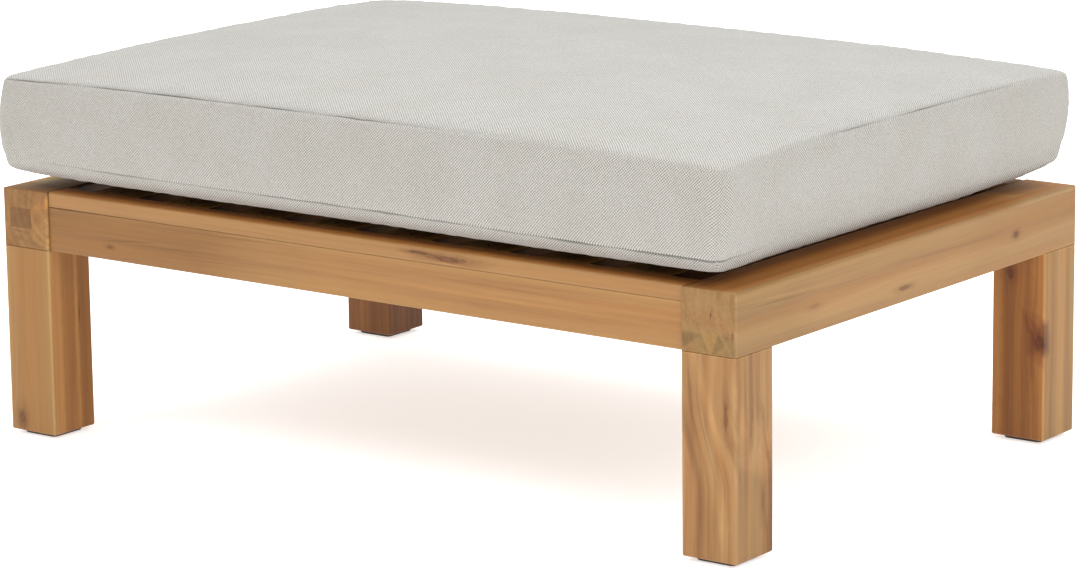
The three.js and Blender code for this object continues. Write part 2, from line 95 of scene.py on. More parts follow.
class ShaderSheet:
    # a new material and short ways to add nodes to it

    def __init__(self, name):
        self.material = bpy.data.materials.new(name)
        self.material.use_nodes = True
        self.tree = self.material.node_tree
        self.tree.nodes.clear()

    def add(self, kind, inputs=None, **settings):
        made = self.tree.nodes.new("ShaderNode" + kind)
        for key, value in settings.items():
            setattr(made, key, value)
        for socket, value in (inputs or {}).items():
            self.feed(made.inputs[socket], value)
        return made

    def feed(self, socket, value):
        if isinstance(value, bpy.types.NodeSocket):
            self.tree.links.new(value, socket)
        else:
            socket.default_value = value

    def math(self, operation, *values, clamp=False):
        made = self.add("Math", dict(enumerate(values)), operation=operation, use_clamp=clamp)
        return made.outputs[0]

    def plus(self, *values):
        return self.math("ADD", *values)

    def minus(self, *values):
        return self.math("SUBTRACT", *values)

    def times(self, *values, clamp=False):
        return self.math("MULTIPLY", *values, clamp=clamp)

    def vector(self, operation, *values):
        made = self.add("VectorMath", dict(enumerate(values)), operation=operation)
        return made.outputs["Value" if operation in ("LENGTH", "DOT_PRODUCT") else "Vector"]

    def place(self):
        return self.add("TexCoord").outputs["Object"]

    def split(self, vector):
        return self.add("SeparateXYZ", {0: vector}).outputs

    def scaled(self, vector, amount):
        made = self.add("VectorMath", {0: vector, "Scale": amount}, operation="SCALE")
        return made.outputs["Vector"]

    def noise(self, vector, scale=1.0, detail=2.0, roughness=0.5, output="Fac"):
        inputs = {"Vector": vector, "Scale": scale, "Detail": detail, "Roughness": roughness}
        return self.add("TexNoise", inputs).outputs[output]

    def lineNoise(self, place, detail=2.0, roughness=0.5):
        inputs = {"W": place, "Scale": 1.0, "Detail": detail, "Roughness": roughness}
        return self.add("TexNoise", inputs, noise_dimensions="1D").outputs["Fac"]

    def ease(self, value, low, high, start=0.0, end=1.0):
        inputs = {"Value": value, "From Min": low, "From Max": high, "To Min": start, "To Max": end}
        return self.add("MapRange", inputs, interpolation_type="SMOOTHSTEP").outputs[0]

    def mix(self, share, first, second, blend="MIX"):
        made = self.add("Mix", {0: share, 6: first, 7: second}, data_type="RGBA", blend_type=blend)
        return made.outputs[2]

    def rounded(self, radius):
        return self.add("Bevel", {"Radius": radius}, samples=4).outputs["Normal"]

    def relief(self, height, strength, distance, **more):
        inputs = {"Height": height, "Strength": strength, "Distance": distance, **more}
        return self.add("Bump", inputs).outputs[0]

    def ramp(self, value, stops):
        made = self.add("ValToRGB", {"Fac": value})
        elements = made.color_ramp.elements
        while len(elements) < len(stops):
            elements.new(1)
        for element, (place, color) in zip(elements, stops):
            element.position = place
            element.color = color
        return made.outputs["Color"]

    def finish(self, **inputs):
        surface = self.add("BsdfPrincipled", {key.replace("_", " "): value for key, value in inputs.items()})
        output = self.add("OutputMaterial")
        self.tree.links.new(surface.outputs["BSDF"], output.inputs["Surface"])
        return self.material


def paint(node, material):
    mesh = nodes[node].data
    mesh.materials.clear()
    mesh.materials.append(material)


# wood

woodLook = {
    "dark": "6b4220",
    "middle": "966e42",
    "light": "ad8657",
    "knot": "47240f",
    "ringSpacing": 0.0085,
    "swayScale": (2.2, 9, 9),  # of each pattern: along the grain, then twice across it
    "bandScale": (1.5, 55, 55),
    "streakScale": (2.2, 190, 190),
    "fibreScale": (14, 620, 620),
    "hueScale": (1.2, 38, 38),
    "poreScale": 900,
    "ringShare": 0.6,
    "streakShare": 0.56,
    "bandShare": 1.1,
    "fibreShare": 0.38,
    "edgeBand": 0.0026,  # how far the painted highlight along the edges reaches
    "edgeBlur": (-0.0015, 0.0020),
    "edgeRadius": 0.0012,
    "roughness": 0.52,
    "roughnessSwing": 0.3,
    "relief": (0.25, 0.0004),  # strength, then depth
    "tonePlaces": (0.1, 0.5, 0.9),  # where the grain is dark, middling and light
    "ringStretch": 0.02,
    "seedSteps": (7.7, 2.3, 4.1, 5.3),  # shift each board's rings, then its other patterns
    "facing": (0.75, 0.95),  # how squarely a face has to look along an axis
    "poreTint": (0.78, 0.74, 0.68),
    "poreBand": (0.62, 0.4),
    "poreShare": 0.6,
    "endShade": 0.93,
    "edgeHighlightTint": (1.26, 1.58, 1.95),  # painted highlight, paler where the rounded edges catch the light
    "highlightBand": (0.25, 0.6),
    "leastHighlight": 0.55,
    "warmTint": (1.03, 0.95, 0.86),
    "warmBand": (0.47, 0.66),
    "coolTint": (1.0, 1.0, 0.95),
    "coolBand": (0.5, 0.34),
}

knotLook = {
    "flow": 2.5,  # how far the grain parts, in radii, where a knot doesn't say
    "flowStretch": 2.2,
    "push": 0.85,
    "edgeScale": (90, 260, 260),
    "ragged": 1.6,
    "halo": (2.8, 0.9),  # in radii
    "haloShare": 0.5,
    "core": (1.3, 0.5),
    "rings": 6.0,
    "ringBand": (0.35, 0.65),
}

markLook = {
    "blur": 0.0012,
    "depth": 0.004,  # how far from its face a mark reaches
    "waver": 0.002,
    "waveScale": 90,
    "jointLightHeights": (0.2286, 0.2310),  # of the painted light band at the top end of a leg
    "jointLightOver": 0.01,
    "jointLightDepth": 0.08,
    "jointLightTint": (1.2, 1.2, 1.2),
}

grainOrders = {"x": "XYZ", "y": "YZX", "z": "ZXY"}  # along the grain first, then the two across it


def inGrainOrder(sheet, vector, axis):
    apart = sheet.split(vector)
    return sheet.add("CombineXYZ", {n: apart[name] for n, name in enumerate(grainOrders[axis])}).outputs[0]


def ordered(point, axis):
    return tuple(point["XYZ".index(name)] for name in grainOrders[axis])


def multiplied(sheet, color, tint, share=1.0):
    return sheet.mix(share, color, sheet.mix(1.0, color, (*tint, 1), "MULTIPLY"))


def bentRoundKnots(sheet, place, piece, axis):
    # grain lines part round each knot; also gives how far a point is from each knot, in radii
    bent, reaches = place, []
    for knot in piece["knots"]:
        centre = tuple(a - b for a, b in zip(ordered(knot["place"], axis), ordered(piece["centre"], axis)))
        away = sheet.vector("SUBTRACT", place, centre)
        size, long = knot["radius"], knot["radius"] * knot["stretch"]
        reaches.append(sheet.vector("LENGTH", sheet.vector("MULTIPLY", away, (1 / long, 1 / size, 1 / size))))
        flow = knot.get("flow", knotLook["flow"] * size)
        flowShape = (1 / (knotLook["flowStretch"] * flow + long), 1 / flow, 1 / flow)
        wide = sheet.vector("LENGTH", sheet.vector("MULTIPLY", away, flowShape))
        hold = sheet.math("EXPONENT", sheet.times(sheet.math("POWER", wide, 2.0), -1.0))
        push = sheet.vector("MULTIPLY", sheet.scaled(away, hold), (0, -knotLook["push"], -knotLook["push"]))
        bent = sheet.vector("ADD", bent, push)
    return bent, reaches


def grainValue(sheet, bent, piece, look):
    # rings about the pith, broad bands, streaks and fibres, as one number from dark to light
    fromPith = sheet.vector("SUBTRACT", bent, (0, *piece["pith"]))
    ringPlace = sheet.vector("LENGTH", sheet.vector("MULTIPLY", fromPith, (look["ringStretch"], 1, 1)))
    ringSeed, *seeds = (piece["seed"] * step for step in look["seedSteps"])
    ringPlace = sheet.plus(sheet.math("DIVIDE", ringPlace, look["ringSpacing"]), ringSeed)
    rings = sheet.lineNoise(ringPlace, detail=2, roughness=0.5)
    seeded = sheet.vector("ADD", bent, seeds)
    bands = sheet.noise(sheet.vector("MULTIPLY", seeded, look["bandScale"]), detail=2, roughness=0.4)
    streaks = sheet.noise(sheet.vector("MULTIPLY", seeded, look["streakScale"]), detail=2, roughness=0.5)
    fibres = sheet.noise(sheet.vector("MULTIPLY", seeded, look["fibreScale"]), detail=2, roughness=0.6)
    value = 0.5 + piece["shade"]
    shares = (
        (rings, "ringShare", 1.0),
        (bands, "bandShare", piece["bands"]),
        (streaks, "streakShare", 1.0),
        (fibres, "fibreShare", 1.0),
    )
    for pattern, share, strength in shares:
        amount = look[share] * strength * piece["contrast"]
        value = sheet.plus(value, sheet.times(sheet.minus(pattern, 0.5), amount))
    return value, seeded, streaks, fibres


def withKnots(sheet, color, reaches, piece, place, look):
    dark = tone(look["dark"])
    seeded = sheet.vector("ADD", place, (piece["seed"], piece["seed"], piece["seed"]))
    wobble = sheet.noise(sheet.vector("MULTIPLY", seeded, knotLook["edgeScale"]), detail=3, roughness=0.6)
    ragged = sheet.times(sheet.minus(wobble, 0.5), knotLook["ragged"])
    for reach, knot in zip(reaches, piece["knots"]):
        depth = knot["depth"]
        edge = sheet.plus(reach, ragged)
        halo = sheet.times(sheet.ease(edge, *knotLook["halo"]), knotLook["haloShare"] * depth)
        color = sheet.mix(halo, color, dark)
        swirl = sheet.lineNoise(sheet.times(edge, knotLook["rings"]), detail=1)
        core = sheet.mix(sheet.ease(swirl, *knotLook["ringBand"]), tone(look["knot"]), dark)
        color = sheet.mix(sheet.times(sheet.ease(edge, *knotLook["core"]), depth), color, core)
    return color


def patchMask(sheet, coordinates, patch):
    # inside a polygon on two of the axes, near one place on the third
    first, second, third = ("xyz".index(letter) for letter in patch["plane"])
    corners = patch["corners"]
    inside = None
    for (x0, y0), (x1, y1) in zip(corners, corners[1:] + corners[:1]):
        size = math.hypot(x1 - x0, y1 - y0)
        inward = [0, 0, 0]
        inward[first], inward[second] = (y0 - y1) / size, (x1 - x0) / size
        start = x0 * inward[first] + y0 * inward[second]
        gap = sheet.minus(sheet.vector("DOT_PRODUCT", coordinates, inward), start)
        inside = gap if inside is None else sheet.math("MINIMUM", inside, gap)
    blur = patch["blur"]
    mask = sheet.ease(inside, -blur / 2, blur / 2)
    level = sheet.split(coordinates)[third]
    off = sheet.math("ABSOLUTE", sheet.minus(level, patch["face"]))
    depth = patch.get("depth", markLook["depth"])
    return sheet.times(mask, sheet.ease(off, depth, depth / 2))


def patched(sheet, coordinates, color, patch):
    # a mark, a stain or a glued-in stave of another tone
    warp = sheet.noise(coordinates, scale=markLook["waveScale"], detail=3, output="Color")
    waver = sheet.vector("SUBTRACT", warp, (0.5, 0.5, 0.5))
    place = sheet.vector("ADD", coordinates, sheet.scaled(waver, patch.get("waver", 0.0)))
    return multiplied(sheet, color, patch["tint"], patchMask(sheet, place, patch))


def woodMaterial(name, piece, look=woodLook):
    sheet = ShaderSheet(name)
    axis = piece["axis"]
    coordinates = sheet.place()
    place = sheet.vector("SUBTRACT", inGrainOrder(sheet, coordinates, axis), ordered(piece["centre"], axis))
    slowPlace = sheet.vector("ADD", sheet.vector("MULTIPLY", place, look["swayScale"]), (piece["seed"], 0, 0))
    slow = sheet.noise(slowPlace, detail=1, output="Color")
    swing = sheet.vector("SUBTRACT", slow, (0.5, 0.5, 0.5))
    swayed = sheet.vector("ADD", place, sheet.vector("MULTIPLY", swing, (0, piece["sway"], piece["sway"])))
    if piece["turn"]:
        start, reach, shift = piece["turn"]
        along = sheet.split(place)[0]
        step = sheet.ease(along, start - reach, start + reach, -shift, shift)
        swayed = sheet.vector("ADD", swayed, sheet.add("CombineXYZ", {1: step}).outputs[0])
    bent, reaches = bentRoundKnots(sheet, place, piece, axis)
    bent = sheet.vector("ADD", bent, sheet.vector("SUBTRACT", swayed, place))
    value, seeded, streaks, fibres = grainValue(sheet, bent, piece, look)
    tones = (tone(look[key]) for key in ("dark", "middle", "light"))
    color = sheet.ramp(value, tuple(zip(look["tonePlaces"], tones)))

    hue = sheet.noise(sheet.vector("MULTIPLY", seeded, look["hueScale"]), detail=1)
    color = multiplied(sheet, color, look["warmTint"], sheet.ease(hue, *look["warmBand"]))
    color = multiplied(sheet, color, look["coolTint"], sheet.ease(hue, *look["coolBand"]))
    color = multiplied(sheet, color, piece["tint"])
    color = withKnots(sheet, color, reaches, piece, place, look)
    for patch in piece["patches"]:
        color = patched(sheet, coordinates, color, patch)

    normal = sheet.add("NewGeometry").outputs["Normal"]
    # painted shade on the faces that look left and right
    if piece["sideShadeTint"]:
        aside = sheet.math("ABSOLUTE", sheet.vector("DOT_PRODUCT", normal, (1.0, 0.0, 0.0)))
        color = multiplied(sheet, color, piece["sideShadeTint"], sheet.ease(aside, *look["facing"]))
    grainway = tuple(float(axis == name) for name in "xyz")
    along = sheet.math("ABSOLUTE", sheet.vector("DOT_PRODUCT", normal, grainway))
    pores = sheet.noise(coordinates, scale=look["poreScale"], detail=2)
    poreMask = sheet.ease(pores, *look["poreBand"], 0.0, look["poreShare"])
    endColor = multiplied(sheet, color, look["poreTint"], poreMask)
    endColor = multiplied(sheet, endColor, (look["endShade"],) * 3)
    color = sheet.mix(sheet.ease(along, *look["facing"]), color, endColor)

    # painted highlight along the long edges, where the rounded edges catch the light, broken up by the
    # streaks
    apart = sheet.split(place)
    overs = []
    for n, half in enumerate(ordered(piece["half"], axis)[1:], start=1):
        overs.append(sheet.minus(sheet.math("ABSOLUTE", apart[n]), half - look["edgeBand"]))
    cornerness = sheet.ease(sheet.math("MINIMUM", *overs), *look["edgeBlur"])
    highlightStrength = piece["edgeLight"]
    edgeHighlight = sheet.ease(streaks, *look["highlightBand"], look["leastHighlight"] * highlightStrength, highlightStrength)
    color = multiplied(sheet, color, look["edgeHighlightTint"], sheet.times(cornerness, edgeHighlight))

    duller = sheet.times(sheet.minus(streaks, 0.5), look["roughnessSwing"])
    roughness = sheet.plus(look["roughness"], duller)
    rounded = sheet.rounded(look["edgeRadius"])
    return sheet.finish(
        Base_Color=color,
        Roughness=roughness,
        Specular_IOR_Level=piece["sheen"],
        Normal=sheet.relief(fibres, *look["relief"], Normal=rounded),
    )


# faces that carry marks: the two axes across the face and the third, then where the face lies on the third
leftRail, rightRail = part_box("side_rail_left"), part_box("side_rail_right")
frontBoards = ("xzy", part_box("front_rail_lower_board")[0].y)
railTops = ("xyz", rightRail[1].z)
frontEnds = ("xzy", rightRail[0].y)  # of the side rails, and the front legs under them
backEnds = ("xzy", rightRail[1].y)
rightSide = ("yzx", rightRail[1].x)
leftInside = ("yzx", leftRail[1].x)
backLegFronts = ("xzy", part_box("leg_back_right")[0].y)


def knotMark(place, radius, stretch, depth, **more):
    # stretch is how many times longer than wide it is, along the grain
    return {"place": place, "radius": radius, "stretch": stretch, "depth": depth, **more}


def panel(left, right, low, high):
    return [(left, low), (right, low), (right, high), (left, high)]


def facePatch(face, corners, tint, blur=markLook["blur"], **more):
    plane, place = face
    return {"plane": plane, "face": place, "corners": corners, "tint": tint, "blur": blur, **more}


def field(face, left, right, low, high, tint, **more):
    return facePatch(face, panel(left, right, low, high), tint, **more)


def streak(face, start, end, width, tint, **more):
    # a long thin mark from one point to another, widest in its middle
    (x0, y0), (x1, y1) = start, end
    size = math.hypot(x1 - x0, y1 - y0)
    sideX, sideY = (y0 - y1) / size * width / 2, (x1 - x0) / size * width / 2
    middleX, middleY = (x0 + x1) / 2, (y0 + y1) / 2
    corners = [start, (middleX - sideX, middleY - sideY), end, (middleX + sideX, middleY + sideY)]
    return facePatch(face, corners, tint, blur=width, waver=markLook["waver"], **more)


def jointLight(left, right, depthMiddle):
    # painted light on the top end of a leg, filling the shade in its joint with the rail so that the joint
    # hardly shows
    over = markLook["jointLightOver"]
    corners = panel(left - over, right + over, *markLook["jointLightHeights"])
    return facePatch(("xzy", depthMiddle), corners, markLook["jointLightTint"], depth=markLook["jointLightDepth"])


# what sets one board apart from the next: places in metres, the rest in shares
boardLooks = {
    "front_rail_top_strip": {
        "seed": 1.0, "shade": 0.04, "contrast": 0.5, "pith": (0.09, 0.16), "tint": (1.0, 0.985, 0.97),
        "knots": [
            knotMark((0.142, -0.3495, 0.2905), 0.0034, 8.0, 0.8, flow=0.007),
            knotMark((0.104, -0.3495, 0.2935), 0.0016, 11, 0.85),
        ],
        "patches": [
            # painted warm light on the strip's top, where the cushion's edge shades it
            field(railTops, -0.46, 0.46, -0.347, -0.31, (1.4, 1.08, 0.72), blur=0.004, depth=0.006),
            streak(frontBoards, (0.118, 0.2858), (0.166, 0.2846), 0.0016, (1.35, 1.4, 1.4)),
            streak(frontBoards, (0.128, 0.2925), (0.15, 0.288), 0.0014, (1.5, 1.4, 1.3)),
            streak(frontBoards, (-0.3, 0.2905), (-0.02, 0.287), 0.0018, (0.86, 0.8, 0.72)),
        ],
    },
    "front_rail_lower_board": {
        "seed": 2.0, "shade": 0.02, "contrast": 0.55, "pith": (0.2, 0.05), "tint": (0.98, 0.98, 0.96),
        "knots": [
            knotMark((-0.359, -0.3495, 0.2459), 0.0024, 2.2, 0.5, flow=0.01),
        ],
        "patches": [
            # painted shading along the board: darker towards the left leg, lighter towards the right
            field(frontBoards, -0.5, -0.2, 0.22, 0.29, (0.68, 0.58, 0.46), blur=0.2),
            field(frontBoards, -0.05, 0.5, 0.22, 0.29, (1.12, 1.08, 1.04), blur=0.2),
            streak(frontBoards, (-0.5, 0.2826), (-0.34, 0.2828), 0.0022, (0.5, 0.4, 0.3)),
            streak(frontBoards, (-0.385, 0.2515), (-0.281, 0.2596), 0.0018, (0.66, 0.6, 0.5)),
            streak(frontBoards, (-0.335, 0.252), (-0.18, 0.256), 0.0016, (0.75, 0.7, 0.62)),
            streak(frontBoards, (-0.25, 0.277), (-0.07, 0.2795), 0.002, (0.74, 0.68, 0.6)),
            streak(frontBoards, (-0.3, 0.244), (-0.1, 0.248), 0.0016, (0.82, 0.78, 0.72)),
            streak(frontBoards, (0.05, 0.256), (0.42, 0.252), 0.004, (1.14, 1.13, 1.1)),
            streak(frontBoards, (0.1, 0.269), (0.3, 0.266), 0.0026, (0.86, 0.8, 0.74)),
        ],
    },
    "side_rail_right": {
        "seed": 3.0, "shade": 0.03, "contrast": 0.5, "pith": (0.03, 0.12), "tint": (0.96, 1.02, 1.04),
        "knots": [
            knotMark((0.525, 0.2163, 0.2649), 0.0036, 1.7, 0.75),
            knotMark((0.525, -0.0217, 0.2459), 0.0026, 5.0, 0.6, flow=0.008),
            knotMark((0.525, -0.2024, 0.259), 0.003, 3.5, 0.25),
        ],
        "patches": [
            # painted shade on the rail's top under the cushion's edge; the next two patches paint light back
            # in towards the back and along the inner part
            field(railTops, 0.44, 0.52, -0.348, 0.36, (1.05, 0.75, 0.48), blur=0.014, depth=0.006),
            field(railTops, 0.44, 0.53, 0.235, 0.37, (1.28, 1.6, 2.2), blur=0.09, depth=0.006),
            field(railTops, 0.44, 0.4985, -0.335, 0.26, (1.45, 1.5, 1.5), blur=0.022, depth=0.006),
            # painted light over the joint between rail and legs, filling the shade in it
            field(frontEnds, 0.44, 0.54, 0.2296, 0.2313, (1.15, 1.15, 1.15), depth=0.142),
            field(backEnds, 0.44, 0.54, 0.2296, 0.2313, (1.15, 1.15, 1.15), depth=0.142),
            # painted highlight down the rounded corner edge at the rail's front end
            field(rightSide, -0.354, -0.35, 0.229, 0.302, (1.1, 1.14, 1.25)),
            field(frontEnds, 0.5228, 0.527, 0.229, 0.302, (1.08, 1.1, 1.16)),
            field(rightSide, -0.4, -0.22, 0.22, 0.31, (0.87, 0.88, 0.84), blur=0.1),
            field(rightSide, 0.12, 0.4, 0.22, 0.31, (0.92, 0.91, 0.89), blur=0.1),
            streak(rightSide, (-0.35, 0.286), (-0.193, 0.2795), 0.003, (1.2, 1.19, 1.16)),
            streak(rightSide, (-0.345, 0.28), (-0.15, 0.274), 0.0026, (0.82, 0.79, 0.74)),
            streak(rightSide, (-0.02, 0.276), (0.2, 0.27), 0.003, (0.84, 0.82, 0.76)),
            field(frontEnds, 0.44, 0.54, 0.2, 0.2524, (0.9, 0.93, 0.88)),
            facePatch(frontEnds, [(0.491, 0.2276), (0.502, 0.2528), (0.482, 0.2524)], (1.2, 1.17, 1.1)),
            facePatch(frontEnds, [(0.494, 0.229), (0.511, 0.242), (0.503, 0.2524)],
                      (0.8, 0.84, 0.78), waver=0.002),
            facePatch(frontEnds, [(0.456, 0.233), (0.482, 0.25), (0.456, 0.2524)],
                      (0.82, 0.84, 0.82), waver=0.003),
            streak(frontEnds, (0.493, 0.269), (0.4936, 0.2775), 0.0022, (0.35, 0.33, 0.3)),
            streak(frontEnds, (0.521, 0.248), (0.5213, 0.259), 0.0026, (0.62, 0.4, 0.3)),
            streak(frontEnds, (0.458, 0.272), (0.486, 0.256), 0.003, (0.85, 0.84, 0.82)),
        ],
    },
    "side_rail_left": {
        "seed": 4.0, "shade": -0.05, "contrast": 0.55, "pith": (0.02, 0.05), "tint": (0.92, 0.9, 0.8),
        "patches": [
            # painted highlight along the rounded edge where the rail's end meets the front board
            field(frontEnds, -0.4592, -0.454, 0.229, 0.302, (1.1, 1.26, 1.45)),
            # painted reflection: the rail's top paler and greyer, as if catching the white around it
            field(railTops, -0.54, -0.464, -0.338, 0.36, (1.3, 1.5, 1.75), blur=0.014, depth=0.006),
            field(railTops, -0.54, -0.464, -0.31, 0.36, (1.4, 1.6, 1.9), blur=0.02, depth=0.006),
            # painted shade on the rail's inner face, in the gap under the cushion
            field(leftInside, -0.3, 0.3, 0.27, 0.31, (0.25, 0.2, 0.17), blur=0.01, depth=0.003),
            field(frontEnds, -0.515, -0.481, 0.2535, 0.2775, (0.7, 0.66, 0.6), blur=0.0006),
            field(frontEnds, -0.527, -0.515, 0.2535, 0.2775, (1.14, 1.12, 1.1), blur=0.0006),
            facePatch(frontEnds, [(-0.481, 0.24), (-0.455, 0.233), (-0.455, 0.296), (-0.481, 0.2775)],
                      (1.16, 1.15, 1.12), waver=0.003),
            facePatch(frontEnds, [(-0.466, 0.28), (-0.455, 0.278), (-0.455, 0.295)],
                      (1.28, 1.2, 1.05), waver=0.001),
            facePatch(frontEnds, [(-0.462, 0.231), (-0.455, 0.231), (-0.455, 0.246)], (1.22, 1.2, 1.1)),
            streak(frontEnds, (-0.518, 0.244), (-0.462, 0.233), 0.005, (0.84, 0.88, 0.8)),
            streak(frontEnds, (-0.52, 0.25), (-0.48, 0.2485), 0.0014, (0.66, 0.62, 0.6)),
        ],
    },
    "leg_front_left": {
        "seed": 5.0, "shade": 0.02, "contrast": 0.5, "pith": (0.02, 0.14), "edgeLight": 0.9,
        "tint": (1.0, 1.0, 0.93),
        "knots": [knotMark((-0.507, -0.3525, 0.02), 0.0062, 1.8, 0.7)],
        "patches": [
            field(frontEnds, -0.508, -0.4575, -0.01, 0.24, (0.86, 0.84, 0.73), blur=0.012, waver=0.004),
            # painted light lifting the whole inner face of the leg out of its shade
            field(leftInside, -0.349, -0.27, 0.0, 0.235, (1.18, 1.09, 0.96)),
            field(leftInside, -0.333, -0.31, 0.0, 0.235, (0.73, 0.67, 0.54), blur=0.01, waver=0.005),
            field(leftInside, -0.306, -0.276, 0.0, 0.235, (0.7, 0.6, 0.42), blur=0.006, waver=0.005),
            streak(leftInside, (-0.304, 0.128), (-0.303, 0.166), 0.002, (0.42, 0.32, 0.24)),
            streak(leftInside, (-0.31, 0.09), (-0.3085, 0.22), 0.002, (1.25, 1.22, 1.2)),
            streak(leftInside, (-0.319, 0.01), (-0.317, 0.14), 0.006, (0.84, 0.8, 0.74)),
        ],
    },
    "leg_front_right": {
        "seed": 6.0, "shade": 0.05, "contrast": 0.68, "bands": 1.7, "pith": (0.05, 0.045), "edgeLight": 0.45,
        "tint": (1.01, 1.0, 1.0), "turn": (0.003, 0.055, 0.013),
        "knots": [
            knotMark((0.512, -0.3525, 0.167), 0.0024, 7.0, 0.65, flow=0.016),
            knotMark((0.525, -0.3015, 0.066), 0.0028, 5.0, 0.45, flow=0.008),
        ],
        "patches": [
            jointLight(0.455, 0.525, -0.3175),
            streak(frontEnds, (0.513, 0.15), (0.5225, 0.12), 0.011, (0.76, 0.7, 0.7)),
            streak(frontEnds, (0.464, 0.22), (0.469, 0.16), 0.004, (0.72, 0.64, 0.6)),
            streak(frontEnds, (0.466, 0.175), (0.48, 0.115), 0.008, (0.84, 0.76, 0.7)),
            streak(frontEnds, (0.474, 0.225), (0.508, 0.105), 0.009, (1.16, 1.15, 1.1)),
            streak(frontEnds, (0.48, 0.11), (0.483, 0.005), 0.012, (0.86, 0.78, 0.7)),
            streak(frontEnds, (0.504, 0.12), (0.508, 0.005), 0.011, (1.14, 1.13, 1.08)),
            streak(frontEnds, (0.457, 0.21), (0.4575, 0.06), 0.006, (1.12, 1.2, 1.36)),
            streak(frontEnds, (0.467, 0.235), (0.468, 0.1), 0.013, (0.8, 0.74, 0.74)),
            streak(frontEnds, (0.48, 0.238), (0.483, 0.16), 0.008, (1.24, 1.36, 1.54)),
            streak(frontEnds, (0.4915, 0.175), (0.4945, 0.09), 0.012, (1.16, 1.3, 1.44)),
            streak(frontEnds, (0.508, 0.085), (0.511, 0.002), 0.012, (1.16, 1.34, 1.54)),
            streak(frontEnds, (0.5215, 0.235), (0.522, 0.155), 0.007, (1.26, 1.45, 1.72)),
            streak(frontEnds, (0.498, 0.078), (0.499, 0.015), 0.007, (0.84, 0.84, 0.84)),
            field(rightSide, -0.3495, -0.27, -0.01, 0.24, (0.94, 0.96, 0.92)),
            facePatch(rightSide, [(-0.342, -0.02), (-0.27, -0.02), (-0.27, 0.085), (-0.342, 0.105)],
                      (0.82, 0.83, 0.79), blur=0.02, waver=0.006),
            streak(rightSide, (-0.299, 0.052), (-0.294, 0.022), 0.008, (0.84, 0.8, 0.78)),
            streak(rightSide, (-0.334, 0.2), (-0.333, 0.07), 0.01, (0.74, 0.72, 0.66)),
            streak(rightSide, (-0.312, 0.17), (-0.309, 0.01), 0.011, (0.78, 0.74, 0.7)),
        ],
    },
    "leg_back_right": {
        "seed": 7.0, "shade": 0.0, "contrast": 0.68, "bands": 1.3, "pith": (-0.06, 0.03), "edgeLight": 0.3,
        "tint": (1.0, 1.03, 0.96),
        "knots": [
            knotMark((0.4792, 0.2825, 0.2029), 0.0046, 1.8, 0.75, flow=0.012),
            knotMark((0.5185, 0.2825, 0.123), 0.0085, 1.15, 0.75, flow=0.018),
        ],
        "patches": [
            jointLight(0.455, 0.525, 0.3175),
            field(backLegFronts, 0.45, 0.53, 0.0, 0.235, (1.08, 0.88, 0.73)),
            field(backLegFronts, 0.467, 0.507, 0.0, 0.235, (0.72, 0.63, 0.54), blur=0.014, waver=0.008),
            facePatch(backLegFronts, [(0.5115, -0.01), (0.53, -0.01), (0.53, 0.09), (0.5115, 0.098)],
                      (1.12, 1.22, 1.25), blur=0.006, waver=0.003),
            facePatch(backLegFronts, [(0.509, 0.158), (0.53, 0.15), (0.53, 0.24), (0.509, 0.24)],
                      (1.12, 1.22, 1.25), blur=0.006, waver=0.003),
            # painted highlight down the leg's near corner edge
            field(backLegFronts, 0.5225, 0.53, -0.01, 0.24, (1.1, 1.22, 1.42)),
            streak(backLegFronts, (0.4975, 0.156), (0.5185, 0.124), 0.013, (0.62, 0.5, 0.44)),
            streak(backLegFronts, (0.503, 0.15), (0.5145, 0.129), 0.0044, (1.7, 1.65, 1.6)),
            facePatch(backLegFronts, [(0.503, 0.11), (0.524, 0.11), (0.526, 0.15), (0.508, 0.136)],
                      (0.84, 0.76, 0.76), blur=0.012, waver=0.006),
            field(rightSide, 0.285, 0.36, -0.01, 0.24, (0.91, 0.92, 0.9)),
            field(rightSide, 0.284, 0.312, -0.01, 0.24, (0.88, 0.86, 0.82), blur=0.012, waver=0.003),
            facePatch(rightSide, [(0.278, 0.108), (0.294, 0.11), (0.292, 0.146), (0.278, 0.148)],
                      (0.64, 0.58, 0.62), blur=0.01, waver=0.004),
        ],
    },
    "leg_back_left": {
        # painted shade: the darker tone, tint and face patches of this leg stand in for the shade under the
        # back of the frame
        "seed": 8.0, "shade": -0.12, "contrast": 0.9, "pith": (0.03, 0.06), "tint": (0.86, 0.78, 0.64),
        "patches": [
            field(backLegFronts, -0.53, -0.45, -0.01, 0.24, (0.81, 0.69, 0.53)),
            field(leftInside, 0.284, 0.36, -0.01, 0.24, (0.59, 0.46, 0.27)),
        ],
    },
}

boardDefaults = {
    "shade": 0.0,
    "contrast": 0.6,
    "bands": 0.6,
    "pith": (0.08, 0.1),  # metres from the middle of the piece, across the grain
    "sway": 0.012,
    "turn": None,  # where along the board its grain steps sideways: (middle, reach, shift)
    "edgeLight": 0.12,
    "sheen": 0.3,
    "tint": (1.0, 1.0, 1.0),
    "sideShadeTint": None,  # painted shade on the long faces that look left and right
    "knots": [],
    "patches": [],
}

deckLook = {
    "tint": (0.95, 0.95, 0.78),
    "sideShadeTint": (0.15, 0.12, 0.10),  # painted shade: the slats' sides as dark as the gap under the cushion
    "contrast": 0.8,
    "sheen": 0.03,
}


def paintWood():
    prefixes = ("side_rail", "front_rail", "back_rail", "leg_", "deck_slat")
    boards = sorted(name for name in nodes if name.startswith(prefixes))
    for count, node in enumerate(boards):
        family = deckLook if node.startswith("deck_slat") else {}
        piece = {**boardDefaults, **family, "seed": 20.0 + count, **boardLooks.get(node, {})}
        low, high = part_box(node)
        size = high - low
        piece["axis"] = "xyz"[max(range(3), key=lambda n: size[n])]
        piece["centre"], piece["half"] = tuple((low + high) / 2), tuple(size / 2)
        paint(node, woodMaterial("wood_" + node, piece))
    return len(boards)


